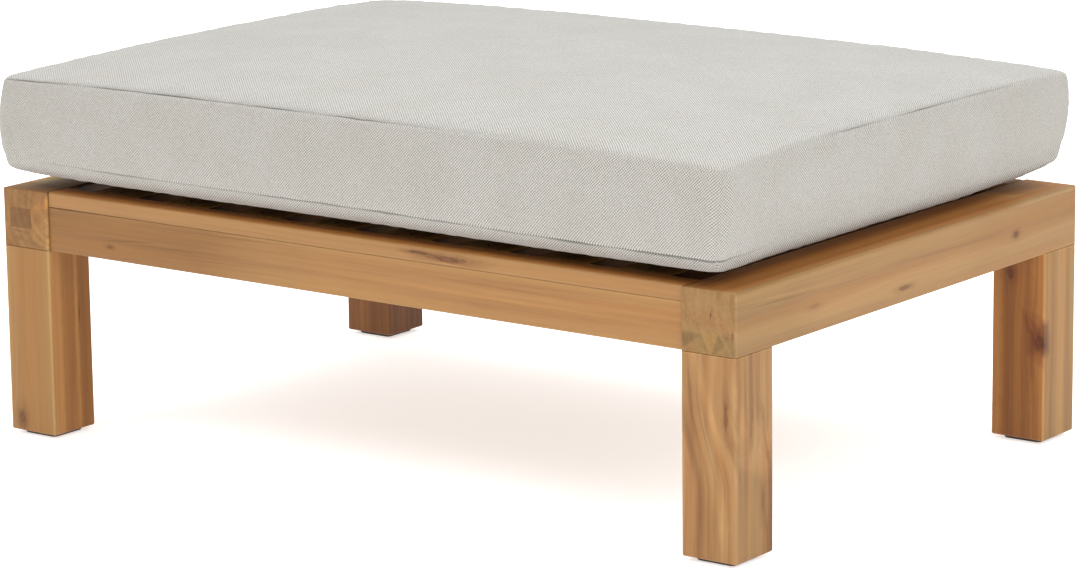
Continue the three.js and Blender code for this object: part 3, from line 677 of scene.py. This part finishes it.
print("wood painted:", paintWood(), "boards")


# plastic and metal

hardwareLook = {
    "plastic": {
        "other": "5b524b",  # tone that the pattern mixes into the piece's own
        "share": 0.3,
        "grainScale": 1400,
        "scuffScale": 90,
        "roughness": (0.5, 0.7),
        "relief": (0.2, 0.0003),  # strength, then depth
    },
    "zinc": {
        "other": "8e9498",
        "share": 0.35,
        "cellScale": 260,
        "edgeRadius": 0.0006,
        "metallic": 0.95,
        "roughness": (0.32, 0.5),
    },
    "brushed": {
        "other": "8a8d90",
        "share": 0.3,
        "lineScale": (300, 300, 4000),
        "roughness": (0.25, 0.4),
        "relief": (0.15, 0.0002),
    },
    "coil": {
        "other": "5f5b54",
        "pitch": 0.0016,
        "lean": 0.4,
        "turnBand": (-0.6, 0.6),
        "roughness": 0.6,
        "relief": (0.8, 0.0006),
    },
    "patternBand": (0.3, 0.7),  # of a pattern, over which the roughness changes
}


def mottled(sheet, color, look, pattern):
    return sheet.mix(sheet.times(pattern, look["share"]), tone(color), tone(look["other"]))


def plastic(sheet, color, look=hardwareLook["plastic"]):
    place = sheet.place()
    grain = sheet.noise(place, scale=look["grainScale"], detail=2)
    scuff = sheet.noise(place, scale=look["scuffScale"], detail=3)
    return sheet.finish(
        Base_Color=mottled(sheet, color, look, scuff),
        Roughness=sheet.ease(scuff, *hardwareLook["patternBand"], *look["roughness"]),
        Normal=sheet.relief(grain, *look["relief"]),
    )


def zinc(sheet, color, look=hardwareLook["zinc"]):
    cells = sheet.add("TexVoronoi", {"Vector": sheet.place(), "Scale": look["cellScale"]}).outputs["Color"]
    spangle = sheet.add("SeparateColor", {0: cells}).outputs[0]
    return sheet.finish(
        Base_Color=mottled(sheet, color, look, spangle),
        Metallic=look["metallic"],
        Roughness=sheet.ease(spangle, 0.0, 1.0, *look["roughness"]),
        Normal=sheet.rounded(look["edgeRadius"]),
    )


def brushed(sheet, color, look=hardwareLook["brushed"]):
    lines = sheet.noise(sheet.vector("MULTIPLY", sheet.place(), look["lineScale"]), detail=2)
    return sheet.finish(
        Base_Color=mottled(sheet, color, look, lines),
        Metallic=1.0,
        Roughness=sheet.ease(lines, *hardwareLook["patternBand"], *look["roughness"]),
        Normal=sheet.relief(lines, *look["relief"]),
    )


def coil(sheet, color, look=hardwareLook["coil"]):
    # fine slanting turns along the zip
    apart = sheet.split(sheet.place())
    slanted = sheet.plus(apart["X"], sheet.times(sheet.math("ABSOLUTE", apart["Z"]), look["lean"]))
    turns = sheet.math("SINE", sheet.times(slanted, 2 * math.pi / look["pitch"]))
    return sheet.finish(
        Base_Color=sheet.mix(sheet.ease(turns, *look["turnBand"]), tone(look["other"]), tone(color)),
        Roughness=look["roughness"],
        Normal=sheet.relief(turns, *look["relief"]),
    )


hardwareFinishes = {  # by the first letters of the pieces' names: kind, material and colour
    "foot_glide": (plastic, "glide_plastic", "211c19"),
    "corner_bracket": (zinc, "bracket_zinc", "b4b8ba"),
    "glide_screw": (zinc, "screw_zinc", "b4b8ba"),
    "bracket_bolt": (brushed, "bolt_stainless", "c3c5c6"),
    # painted shade: these screws are dark so they stay unseen, with no glint, in the shaded gap under the
    # cushion
    "slat_screw": (brushed, "screw_shade_dark", "4c4946"),
    "zip_slider": (zinc, "zip_slider_metal", "8d8a84"),
    "zip_pull": (zinc, "zip_pull_metal", "8d8a84"),
    "zip_chain": (coil, "zip_coil", "a8a49b"),
}


def paintHardware():
    for prefix, (finish, name, color) in hardwareFinishes.items():
        material = finish(ShaderSheet(name), color)
        for node in nodes:
            if node.startswith(prefix):
                paint(node, material)


paintHardware()
print("hardware painted")


# cushion cover

cushionLook = {
    "pale": "d2d0cb",
    "bright": "e2e0db",
    "grey": "62605d",
    "deep": "55534f",
    "seam": "47443f",
    "stitch": "e2dfd8",
    "stitchRow": 0.0092,  # from the middle of the zip
    "stitchHalfWidth": 0.0006,
    "stitchPitch": 0.0034,
    "stitchShare": 0.72,  # of the pitch, the rest is the gap to the next stitch
    "thread": 0.0009,  # width of one yarn
    "strayScale": 45,
    "stray": 0.0016,  # how far the yarns stray from straight
    "ribContrast": (0.38, 0.92),  # at the far left and at the near right
    "ribReach": (-0.6, 0.85),  # how far left and how near those are
    "crossRib": 0.38,  # share of the fainter rib that runs the other way
    "weftHeight": 0.7,
    "yarnContrast": 0.22,
    "yarnShade": 0.6,
    "fleckScale": (400, 1800, 1),
    "patchScale": (26, 9, 1),  # patches where the rib is fainter
    "patchBand": (0.3, 0.7),
    "patchLeast": 0.75,
    "lipLevels": (0.338, 0.328),  # heights between which the lip under the seam sets in
    "lipRibs": 1.6,
    # painted shade on the cushion's sides, below the top, between these heights
    "boxingShadeLevels": (0.438, 0.430),
    "boxingShadeTint": (0.95, 0.935, 0.915),
    # painted shade on the cloth under the lower seam, which faces down
    "undersideShadeLevels": (0.334, 0.322),
    "undersideShadeTint": (0.75, 0.72, 0.71),
    "blotchTint": (0.965, 0.96, 0.945),
    "blotchScale": 14,
    "blotchBand": (0.35, 0.65),
    "seamShadow": 0.64,
    "seamEdge": (0.64, 0.94),  # of the seam's strength: where its shadow sets in and is full
    "relief": (0.55, 0.0005),  # strength, then depth
    "roughness": 0.88,
    "shine": 0.15,
    "fuzz": (0.12, 0.5),  # strength and roughness of the sheen
}

cushionForm = {
    "step": 0.010,  # lattice spacing
    "fineStep": 0.005,
    "fineSteps": 5,
    "lip": 0.0026,  # first lattice line beside a seam
    "cornerRadius": 0.014,
    "boxing": 0.0995,  # between the seams
    "lowerSeam": 0.0355,  # above the deck
    "centre": (-0.002, -0.004),
    "crown": 0.0250,
    "crownPower": 0.41,
    "undersidePowers": (0.21, 0.30),  # along x and y: a small power tucks the edge under sooner
    "tuckBlend": 5,  # how sharply the two meet
    "tuckReach": 1.06,  # over 1, so that the middle lies flat on the deck
    "bulge": 0.006,
    "swellPower": 0.65,
    "spare": 0.001,  # of the seams past the solid's
    "pullIn": 0.004,
    "edgePower": 8,  # how close to the rim the drawn-in sides keep
    "cornerPower": 4,  # how close to the corners their drops keep
    "shear": 0.06,  # sideways shift of the top for each unit of height
    "seamDepth": 0.0022,
    "seamOnset": 0.3,  # seams weaker than about this don't dip
    "seamPower": 1.5,
    "seamStrength": {"mean": 0.9, "swing": 0.25, "scale": 14, "least": 0.05},
    "wave": {"depth": 0.0010, "scale": 9},
    "pucker": {"depth": 0.0009, "scale": 60, "reach": 0.016},  # beside the seams
    "topCornerDrops": {"frontLeft": 0.003, "frontRight": 0.006, "backLeft": 0.003, "backRight": 0.003},
    "lowerCornerDrops": {"frontLeft": -0.007, "frontRight": 0.001, "backLeft": -0.002, "backRight": -0.017},
    "lowerSag": {"place": 0.36, "reach": 0.20, "depth": 0.0032},  # the front hangs lower towards the right
    "middleLift": 0.001,
    "tightSpots": [  # where a seam hardly shows
        {"place": (0.36, -0.36, 0.434), "radius": 0.20, "share": 0.75},
        {"place": (0.52, -0.34, 0.434), "radius": 0.10, "share": 0.6},
        {"place": (0.52, 0.00, 0.434), "radius": 0.34, "share": 0.04},
        {"place": (0.52, 0.34, 0.434), "radius": 0.10, "share": 0.8},
        {"place": (0.52, 0.12, 0.334), "radius": 0.26, "share": 0.95},
        {"place": (0.52, 0.36, 0.334), "radius": 0.15, "share": 0.8},
        {"place": (-0.52, -0.35, 0.334), "radius": 0.07, "share": 0.8},
    ],
    "zip": {
        "lines": (0.0034, 0.0046, 0.0070, 0.0100),  # lattice lines beside the chain
        "slot": 0.0036,  # half width of the channel for the chain
        "lip": 0.0046,  # where the folded edge beside it is highest
        "reach": 0.013,  # how far from the chain the cloth is drawn to its level
        "end": 0.005,
        "behind": 0.0004,  # how far the cloth behind the chain stays out from the chain's back
    },
    "foldShape": {"ends": (0.04, 0.96), "shoulder": 0.6, "shoulderPlace": 2.2, "shoulderWidth": 1.2},
    "folds": [  # from, to, width and depth of a crease, with the cloth raised beside it
        {"start": (0.512, -0.335, 0.330), "end": (0.520, -0.235, 0.322), "width": 0.0045, "depth": 0.0040},
        {"start": (-0.490, -0.362, 0.340), "end": (-0.500, -0.364, 0.384), "width": 0.0060, "depth": 0.0026},
    ],
}

clothLook = {
    "pressure": 4.0,
    "stiffness": 12.0,
    "bending": 0.6,
    "shearShare": 1 / 3,  # of the stiffness
    "mass": 0.3,
    "quality": 5,
    "frames": 20,
    "slack": 0.012,  # how much longer the cloth is than the foam under it
    "hold": 0.45,
    "seamHold": 0.92,
    "furthest": 0.007,
}


def zipStitches(sheet, place, look):
    # one row of stitches above the zip and one below it
    low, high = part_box("zip_chain")
    apart = sheet.split(place)
    gap = sheet.math("ABSOLUTE", sheet.minus(apart["Z"], (low.z + high.z) / 2))
    off = sheet.math("ABSOLUTE", sheet.minus(gap, look["stitchRow"]))
    row = sheet.math("LESS_THAN", off, look["stitchHalfWidth"])
    phase = sheet.math("FRACT", sheet.math("DIVIDE", apart["X"], look["stitchPitch"]))
    dash = sheet.math("LESS_THAN", phase, look["stitchShare"])
    inside = sheet.math("LESS_THAN", sheet.math("ABSOLUTE", apart["X"]), high.x + look["stitchRow"])
    back = sheet.math("GREATER_THAN", apart["Y"], 0.0)
    return sheet.times(sheet.times(row, dash), sheet.times(inside, back))


def twill(sheet, count):
    # two yarns out of four; the count is shifted because it mustn't fall below 0
    turn = sheet.math("MODULO", sheet.plus(count, 40000.0), 4.0)
    return sheet.math("LESS_THAN", turn, 1.5)


def fabricMaterial(look):
    # twill: pale and grey yarns that cross two over, two under, with soft fuzz
    sheet = ShaderSheet("cover_twill")
    flat = sheet.add("UVMap", uv_map="cloth").outputs["UV"]
    place = sheet.place()
    ripple = sheet.noise(flat, scale=look["strayScale"], detail=2, output="Color")
    swing = sheet.vector("SUBTRACT", ripple, (0.5, 0.5, 0.5))
    stray = sheet.vector("MULTIPLY", swing, (look["stray"], look["stray"], 0))
    yarns = sheet.scaled(sheet.vector("ADD", flat, stray), 1 / look["thread"])
    apart = sheet.split(yarns)
    column = sheet.math("FLOOR", apart["X"])
    row = sheet.math("FLOOR", apart["Y"])
    cell = sheet.add("CombineXYZ", {0: column, 1: row}).outputs[0]
    speck = sheet.add("TexWhiteNoise", {"Vector": cell}, noise_dimensions="3D").outputs["Value"]
    over = twill(sheet, sheet.minus(column, row))
    across = sheet.times(twill(sheet, sheet.plus(column, row)), look["crossRib"])
    nearness = sheet.vector("DOT_PRODUCT", place, (1.0, -1.0, 0.0))
    tight = sheet.ease(nearness, *look["ribReach"], *look["ribContrast"])
    patches = sheet.noise(sheet.vector("MULTIPLY", flat, look["patchScale"]), detail=2)
    patchy = sheet.ease(patches, *look["patchBand"], look["patchLeast"], 1.0)
    level = sheet.split(place)["Z"]
    underLip = sheet.ease(level, *look["lipLevels"], 1.0, look["lipRibs"])
    clear = sheet.times(tight, sheet.times(patchy, underLip), clamp=True)
    phases = (sheet.math("FRACT", apart[name]) for name in "XY")
    acrossWarp, acrossWeft = (sheet.math("SINE", sheet.times(phase, math.pi)) for phase in phases)
    warpTop = sheet.times(over, acrossWarp)
    weftTop = sheet.times(sheet.minus(1.0, over), acrossWeft)
    height = sheet.plus(warpTop, sheet.times(weftTop, look["weftHeight"]))
    fleck = sheet.noise(sheet.vector("MULTIPLY", flat, look["fleckScale"]), detail=2)
    pale = sheet.mix(fleck, tone(look["pale"]), tone(look["bright"]))
    grey = sheet.mix(fleck, tone(look["deep"]), tone(look["grey"]))
    raised = sheet.plus(sheet.times(over, 1 - look["crossRib"]), across)
    weave = sheet.mix(raised, grey, pale)
    plain = sheet.mix(0.5, tone(look["grey"]), tone(look["pale"]))
    weave = sheet.mix(clear, plain, weave)
    flecked = sheet.mix(speck, multiplied(sheet, weave, (look["yarnShade"],) * 3), tone(look["bright"]))
    weave = sheet.mix(look["yarnContrast"], weave, flecked)
    blotch = sheet.noise(place, scale=look["blotchScale"], detail=3)
    # random blotches, then painted shade on the sides and on the cloth under the lower seam
    tints = (
        ("blotchTint", blotch, "blotchBand"),
        ("boxingShadeTint", level, "boxingShadeLevels"),
        ("undersideShadeTint", level, "undersideShadeLevels"),
    )
    for tint, pattern, band in tints:
        weave = multiplied(sheet, weave, look[tint], sheet.ease(pattern, *look[band]))
    seam = sheet.add("Attribute", attribute_name="seam").outputs["Fac"]
    shadow = sheet.times(sheet.ease(seam, *look["seamEdge"]), look["seamShadow"])
    color = sheet.mix(shadow, weave, tone(look["seam"]))
    stitches = zipStitches(sheet, place, look)
    color = sheet.mix(stitches, color, tone(look["stitch"]))
    return sheet.finish(
        Base_Color=color,
        Roughness=look["roughness"],
        Specular_IOR_Level=look["shine"],
        Sheen_Weight=look["fuzz"][0],
        Sheen_Roughness=look["fuzz"][1],
        Normal=sheet.relief(sheet.plus(height, stitches), *look["relief"]),
    )


def spread(half, form):
    # lattice lines from -half to half, one close to each end and finer near the ends
    margin = [half, *(half - form["lip"] - form["fineStep"] * n for n in range(form["fineSteps"] + 1))]
    inner = margin[-1]
    count = max(2, round(2 * inner / form["step"]))
    middle = [-inner + 2 * inner * n / count for n in range(1, count)]
    return [-place for place in margin] + middle + margin[::-1]


def roundedPlan(x, y, halfX, halfY, radius):
    # moves a point of the rectangle so that the corner becomes an arc
    overX = max(abs(x) - (halfX - radius), 0) / radius
    overY = max(abs(y) - (halfY - radius), 0) / radius
    if not overX or not overY:
        return x, y
    shrink = max(overX, overY) / math.hypot(overX, overY)
    newX = math.copysign(halfX - radius + overX * shrink * radius, x)
    newY = math.copysign(halfY - radius + overY * shrink * radius, y)
    return newX, newY


def cornerValue(table, shareX, shareY):
    # blend of four corner values, by place from -1 to 1 each way, strong only near the corners
    weightX = (1 + shareX) / 2
    weightY = (1 + shareY) / 2
    front = table["frontLeft"] * (1 - weightX) + table["frontRight"] * weightX
    back = table["backLeft"] * (1 - weightX) + table["backRight"] * weightX
    return front * (1 - weightY) + back * weightY


class CushionSurface:
    # box cushion as a lattice: its points, faces, flat cloth coordinates and seams

    def __init__(self, form):
        self.form = form
        low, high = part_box("cushion_cover")
        self.halfX = high.x - form["bulge"] + form["spare"]
        self.halfY = high.y - form["bulge"] + form["spare"]
        self.deck = low.z
        self.lowerSeam = low.z + form["lowerSeam"]
        self.upperSeam = self.lowerSeam + form["boxing"]
        self.xs = spread(self.halfX, form)
        self.ys = spread(self.halfY, form)
        half = form["boxing"] / 2
        lines = form["zip"]["lines"]
        kept = [half + h for h in spread(half, form) if abs(h) > lines[-1] + form["lip"]]
        self.heights = sorted(kept + [half + side * gap for side in (-1, 1) for gap in lines])
        self.points = []
        self.seam = []
        self.known = {}
        self.faces = []
        self.flats = []

    def point(self, i, j, k):
        key = (i, j, k)
        if key not in self.known:
            self.known[key] = len(self.points)
            self.points.append(self.placed(i, j, k))
            rim = i in (0, len(self.xs) - 1) or j in (0, len(self.ys) - 1)
            sewn = rim and k in (0, len(self.heights) - 1)
            self.seam.append(self.seamStrength(self.points[-1]) if sewn else 0.0)
        return self.known[key]

    def seamStrength(self, point):
        # a seam shows where the cloth dips into it, and fades where it is pulled tight
        look = self.form["seamStrength"]
        strength = look["mean"] + look["swing"] * noise.noise(Vector(point) * look["scale"])
        for spot in self.form["tightSpots"]:
            away = Vector(point) - Vector(spot["place"])
            away.z *= 8  # the other seam, above or below, is left alone
            gap = away.length / spot["radius"]
            strength *= 1 - spot["share"] * math.exp(-gap ** 2)
        return max(min(strength, 1.0), look["least"])

    def placed(self, i, j, k):
        form = self.form
        x, y = self.xs[i], self.ys[j]
        shareX, shareY = x / self.halfX, y / self.halfY
        rise = self.heights[k] / form["boxing"]
        planX, planY = roundedPlan(x, y, self.halfX, self.halfY, form["cornerRadius"])
        rim = max(abs(shareX), abs(shareY)) > 0.9999
        cornerness = (abs(shareX) * abs(shareY)) ** form["cornerPower"]
        topDrop = cornerValue(form["topCornerDrops"], shareX, shareY) * cornerness
        topDrop -= form["middleLift"] * (1 - cornerness)
        lowDrop = cornerValue(form["lowerCornerDrops"], shareX, shareY) * cornerness
        sag = form["lowerSag"]
        lowDrop += sag["depth"] * math.exp(-((x - sag["place"]) / sag["reach"]) ** 2) * max(-shareY, 0) ** 4
        z = (self.lowerSeam - lowDrop) * (1 - rise) + (self.upperSeam - topDrop) * rise
        dome = max((1 - shareX ** 2) * (1 - shareY ** 2), 0)
        if not rim and k:
            z += form["crown"] * dome ** form["crownPower"]
        if not rim and not k:
            powerX, powerY = form["undersidePowers"]
            tuckX, tuckY = (1 - shareX ** 2) ** powerX, (1 - shareY ** 2) ** powerY
            blend = -form["tuckBlend"]
            tuck = (tuckX ** blend + tuckY ** blend) ** (1 / blend)  # the smaller of the two, eased
            z = max(z - (z - self.deck) * tuck * form["tuckReach"], self.deck)
        outX, outY = self.outward(planX, planY)
        pull = outX ** 2 * (1 - shareY ** 4) + outY ** 2 * (1 - shareX ** 4)
        swell = form["bulge"] * max(math.sin(math.pi * rise), 0) ** form["swellPower"] if rim else 0
        edge = max(abs(shareX), abs(shareY)) ** form["edgePower"]
        shift = swell - form["pullIn"] * pull * edge
        lean = form["shear"] * (z - (self.lowerSeam + self.upperSeam) / 2)
        centreX, centreY = form["centre"]
        return centreX + planX + outX * shift + lean, centreY + planY + outY * shift, z

    def outward(self, x, y):
        innerX, innerY = self.halfX - self.form["cornerRadius"], self.halfY - self.form["cornerRadius"]
        overX = math.copysign(max(abs(x) - innerX, 0), x)
        overY = math.copysign(max(abs(y) - innerY, 0), y)
        size = math.hypot(overX, overY)
        return (overX / size, overY / size) if size else (0, 0)

    def quad(self, keys, flats):
        self.faces.append([self.point(*key) for key in keys])
        self.flats.extend(flats)

    def panelFlats(self, k):
        # where a panel's points lie on the flat cloth: lengths along both lattice lines
        columns, rows = range(len(self.xs)), range(len(self.ys))
        grid = np.array([[self.points[self.point(i, j, k)] for j in rows] for i in columns])
        reaches = []
        for axis in (0, 1):
            reach = np.cumsum(np.linalg.norm(np.diff(grid, axis=axis), axis=2), axis=axis)
            reach = np.insert(reach, 0, 0, axis=axis)
            reaches.append(reach - np.take(reach, [reach.shape[axis] // 2], axis=axis))
        return np.stack((-reaches[0], reaches[1]), axis=2)

    def build(self):
        lastI, lastJ, lastK = len(self.xs) - 1, len(self.ys) - 1, len(self.heights) - 1
        top, bottom = self.panelFlats(lastK), self.panelFlats(0)
        for i in range(lastI):
            for j in range(lastJ):
                around = [(i, j), (i + 1, j), (i + 1, j + 1), (i, j + 1)]
                self.quad([(a, b, lastK) for a, b in around], [top[spot] for spot in around])
                around.reverse()
                self.quad([(a, b, 0) for a, b in around], [bottom[spot] for spot in around])
        rim = [(i, 0) for i in range(lastI)] + [(lastI, j) for j in range(lastJ)]
        rim += [(i, lastJ) for i in range(lastI, 0, -1)] + [(0, j) for j in range(lastJ, 0, -1)]
        travelled = 0
        for n, (i, j) in enumerate(rim):
            nextI, nextJ = rim[(n + 1) % len(rim)]
            span = abs(self.xs[nextI] - self.xs[i]) + abs(self.ys[nextJ] - self.ys[j])
            for k in range(lastK):
                keys = [(i, j, k), (nextI, nextJ, k), (nextI, nextJ, k + 1), (i, j, k + 1)]
                along = [travelled, travelled + span, travelled + span, travelled]
                up = [self.heights[k], self.heights[k], self.heights[k + 1], self.heights[k + 1]]
                self.quad(keys, list(zip(along, up)))
            travelled += span
        return self.mesh()

    def mesh(self):
        mesh = bpy.data.meshes.new("cushion")
        mesh.from_pydata(self.points, [], self.faces)
        layer = mesh.uv_layers.new(name="cloth")
        layer.data.foreach_set("uv", [value for flat in self.flats for value in flat])
        mark = mesh.attributes.new("seam", "FLOAT", "POINT")
        mark.data.foreach_set("value", self.seam)
        mesh.update()
        return mesh


def valuesOf(layer, key, width=1):
    values = np.empty(len(layer) * width, np.float32)
    layer.foreach_get(key, values)
    return values.reshape(-1, width)


def coordinatesOf(mesh):
    return valuesOf(mesh.vertices, "co", 3)


def simulateCover(cover, seam, look):
    # lets the cover swell under pressure with a little slack, held near the foam and sewn at its seams
    start = coordinatesOf(cover.data)
    holding = cover.vertex_groups.new(name="hold")
    for index, value in enumerate(seam):
        holding.add([index], look["seamHold"] if value > 0 else look["hold"], "REPLACE")
    modifier = cover.modifiers.new("cloth", "CLOTH")
    settings = modifier.settings
    settings.quality = look["quality"]
    settings.mass = look["mass"]
    settings.tension_stiffness = look["stiffness"]
    settings.compression_stiffness = look["stiffness"]
    settings.shear_stiffness = look["stiffness"] * look["shearShare"]
    settings.bending_stiffness = look["bending"]
    settings.use_pressure = True
    settings.uniform_pressure_force = look["pressure"]
    settings.effector_weights.gravity = 0
    settings.vertex_group_mass = "hold"
    settings.pin_stiffness = 1.0
    settings.shrink_min = -look["slack"]
    modifier.collision_settings.use_collision = False
    modifier.point_cache.frame_start = 1
    modifier.point_cache.frame_end = look["frames"]
    scene = bpy.context.scene
    for number in range(1, look["frames"] + 1):
        scene.frame_set(number)
    solved = coordinatesOf(cover.evaluated_get(bpy.context.evaluated_depsgraph_get()).data)
    scene.frame_set(1)
    cover.modifiers.remove(modifier)
    moved = solved - start
    length = np.linalg.norm(moved, axis=1, keepdims=True)
    print(f"cloth moved, mm: mean {length.mean() * 1000:.2f}, most {length.max() * 1000:.2f}")
    capped = moved * np.minimum(1, look["furthest"] / np.maximum(length, 1e-9))
    cover.data.vertices.foreach_set("co", (start + capped).ravel())
    cover.data.update()


def subdivided(thing):
    modifier = thing.modifiers.new("finer", "SUBSURF")
    modifier.levels = 1
    modifier.render_levels = 1
    made = bpy.data.meshes.new_from_object(thing.evaluated_get(bpy.context.evaluated_depsgraph_get()))
    thing.modifiers.remove(modifier)
    thing.data = made


def creased(places, fold, shape):
    # how far each point moves out for a crease between two places
    start, end = np.array(fold["start"]), np.array(fold["end"])
    line = end - start
    share = np.clip((places - start) @ line / (line @ line), 0, 1)
    gap = np.linalg.norm(places - start - share[:, None] * line, axis=1) / fold["width"]
    fade = np.sin(np.pi * np.clip(share, *shape["ends"])) ** 0.5
    raised = shape["shoulder"] * np.exp(-((gap - shape["shoulderPlace"]) / shape["shoulderWidth"]) ** 2)
    return fold["depth"] * fade * (raised - np.exp(-gap ** 2))


def seatZip(places, form):
    # the cloth folds back on both sides of the zip chain and runs behind it
    low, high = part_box("zip_chain")
    gap = np.abs(places[:, 2] - (low.z + high.z) / 2)
    within = np.clip((high.x + form["end"] - np.abs(places[:, 0])) / form["end"], 0, 1)
    within *= (places[:, 1] > 0) * np.clip((form["reach"] - gap) / (form["reach"] - 1.5 * form["lip"]), 0, 1)
    rise = np.clip((gap - form["slot"]) / (form["lip"] - form["slot"]), 0, 1)
    level = low.y + form["behind"] + rise * (high.y - low.y - form["behind"])
    places[:, 1] += within * (level - places[:, 1])


def uneven(places, look):
    return np.array([noise.noise(Vector(place) * look["scale"]) for place in places]) * look["depth"]


def sewSeams(cover, surface, form):
    # draws the seam lines in, puckers the cloth beside them and keeps the underside on the deck
    mesh = cover.data
    places = coordinatesOf(mesh).astype(float)
    normals = valuesOf(mesh.vertices, "normal", 3)
    seam = valuesOf(mesh.attributes["seam"].data, "value")[:, 0]
    onset = form["seamOnset"]
    groove = -form["seamDepth"] * np.clip(seam * (1 + onset) - onset, 0, 1) ** form["seamPower"]
    swell, pucker = (uneven(places, form[name]) for name in ("wave", "pucker"))
    reach = form["pucker"]["reach"]
    nearTop = np.exp(-((places[:, 2] - surface.upperSeam) / reach) ** 2)
    nearLow = np.exp(-((places[:, 2] - surface.lowerSeam) / reach) ** 2)
    places += normals * (groove + swell + pucker * np.maximum(nearTop, nearLow))[:, None]
    for fold in form["folds"]:
        places += normals * creased(places, fold, form["foldShape"])[:, None]
    seatZip(places, form["zip"])
    places[:, 2] = np.maximum(places[:, 2], surface.deck)
    mesh.vertices.foreach_set("co", places.astype(np.float32).ravel())
    mesh.polygons.foreach_set("use_smooth", [True] * len(mesh.polygons))
    mesh.update()


def makeCushion():
    surface = CushionSurface(cushionForm)
    cover = bpy.data.objects.new("cushion", surface.build())
    bpy.context.scene.collection.objects.link(cover)
    simulateCover(cover, surface.seam, clothLook)
    subdivided(cover)
    sewSeams(cover, surface, cushionForm)
    cover.data.materials.clear()
    cover.data.materials.append(fabricMaterial(cushionLook))
    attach(cover, "cushion")
    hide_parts("cushion_cover", "cushion_filling")
    return cover


cushion = makeCushion()
print("cushion made:", len(cushion.data.polygons), "faces")


# studio

studioLook = {
    "floor": "f4f3f1",
    "floorPale": "f8f8f7",
    "floorSide": 30.0,
    "floorGlow": 0.6,
    "horizon": 0.26,
    "ceiling": 1.12,
    "skyLevels": (-0.05, 0.9),  # heights on the sky's ball, from the horizon's light to the ceiling's
    "aimHeight": 0.25,
    "key": {"place": (-1.8, -3.4, 4.4), "side": 2.2, "power": 76.0},
    "fill": {"place": (3.8, -1.6, 3.0), "side": 2.2, "power": 60.0},
    "top": {"place": (0.2, 0.6, 4.0), "side": 3.2, "power": 78.0},
}


def makeFloor(look):
    half = look["floorSide"] / 2
    mesh = bpy.data.meshes.new("floor")
    corners = [(x, y, 0) for x, y in panel(-half, half, -half, half)]
    mesh.from_pydata(corners, [], [(0, 1, 2, 3)])
    floor = bpy.data.objects.new("floor", mesh)
    bpy.context.scene.collection.objects.link(floor)
    sheet = ShaderSheet("floor_paper")
    place = sheet.place()
    mottle = sheet.noise(place, scale=3, detail=3)
    color = sheet.mix(mottle, tone(look["floor"]), tone(look["floorPale"]))
    mesh.materials.append(sheet.finish(
        Base_Color=color,
        Roughness=0.9,
        Specular_IOR_Level=0.1,
        Emission_Color=(1, 1, 1, 1),
        Emission_Strength=look["floorGlow"],
    ))


def makeLight(name, look, aim):
    light = bpy.data.lights.new(name, "AREA")
    light.size = look["side"]
    light.energy = look["power"]
    lamp = bpy.data.objects.new(name, light)
    lamp.location = look["place"]
    lamp.rotation_euler = (aim - Vector(look["place"])).to_track_quat("-Z", "Y").to_euler()
    bpy.context.scene.collection.objects.link(lamp)


def makeSky(look):
    # a soft ceiling, dimmer towards the horizon
    world = bpy.data.worlds.new("studio")
    world.use_nodes = True
    tree = world.node_tree
    height = tree.nodes.new("ShaderNodeSeparateXYZ")
    rise = tree.nodes.new("ShaderNodeMapRange")
    tree.links.new(tree.nodes.new("ShaderNodeTexCoord").outputs["Generated"], height.inputs[0])
    tree.links.new(height.outputs["Z"], rise.inputs["Value"])
    rise.interpolation_type = "SMOOTHSTEP"
    names = ("From Min", "From Max", "To Min", "To Max")
    for name, value in zip(names, (*look["skyLevels"], look["horizon"], look["ceiling"])):
        rise.inputs[name].default_value = value
    tree.links.new(rise.outputs[0], tree.nodes["Background"].inputs["Strength"])
    tree.nodes["Background"].inputs["Color"].default_value = (1, 1, 1, 1)
    return world


def makeStudio(look):
    makeFloor(look)
    for name in ("key", "fill", "top"):
        makeLight(name, look[name], Vector((0, 0, look["aimHeight"])))
    bpy.context.scene.world = makeSky(look)
    bpy.context.scene.view_settings.view_transform = "Standard"


makeStudio(studioLook)
print("studio lit")
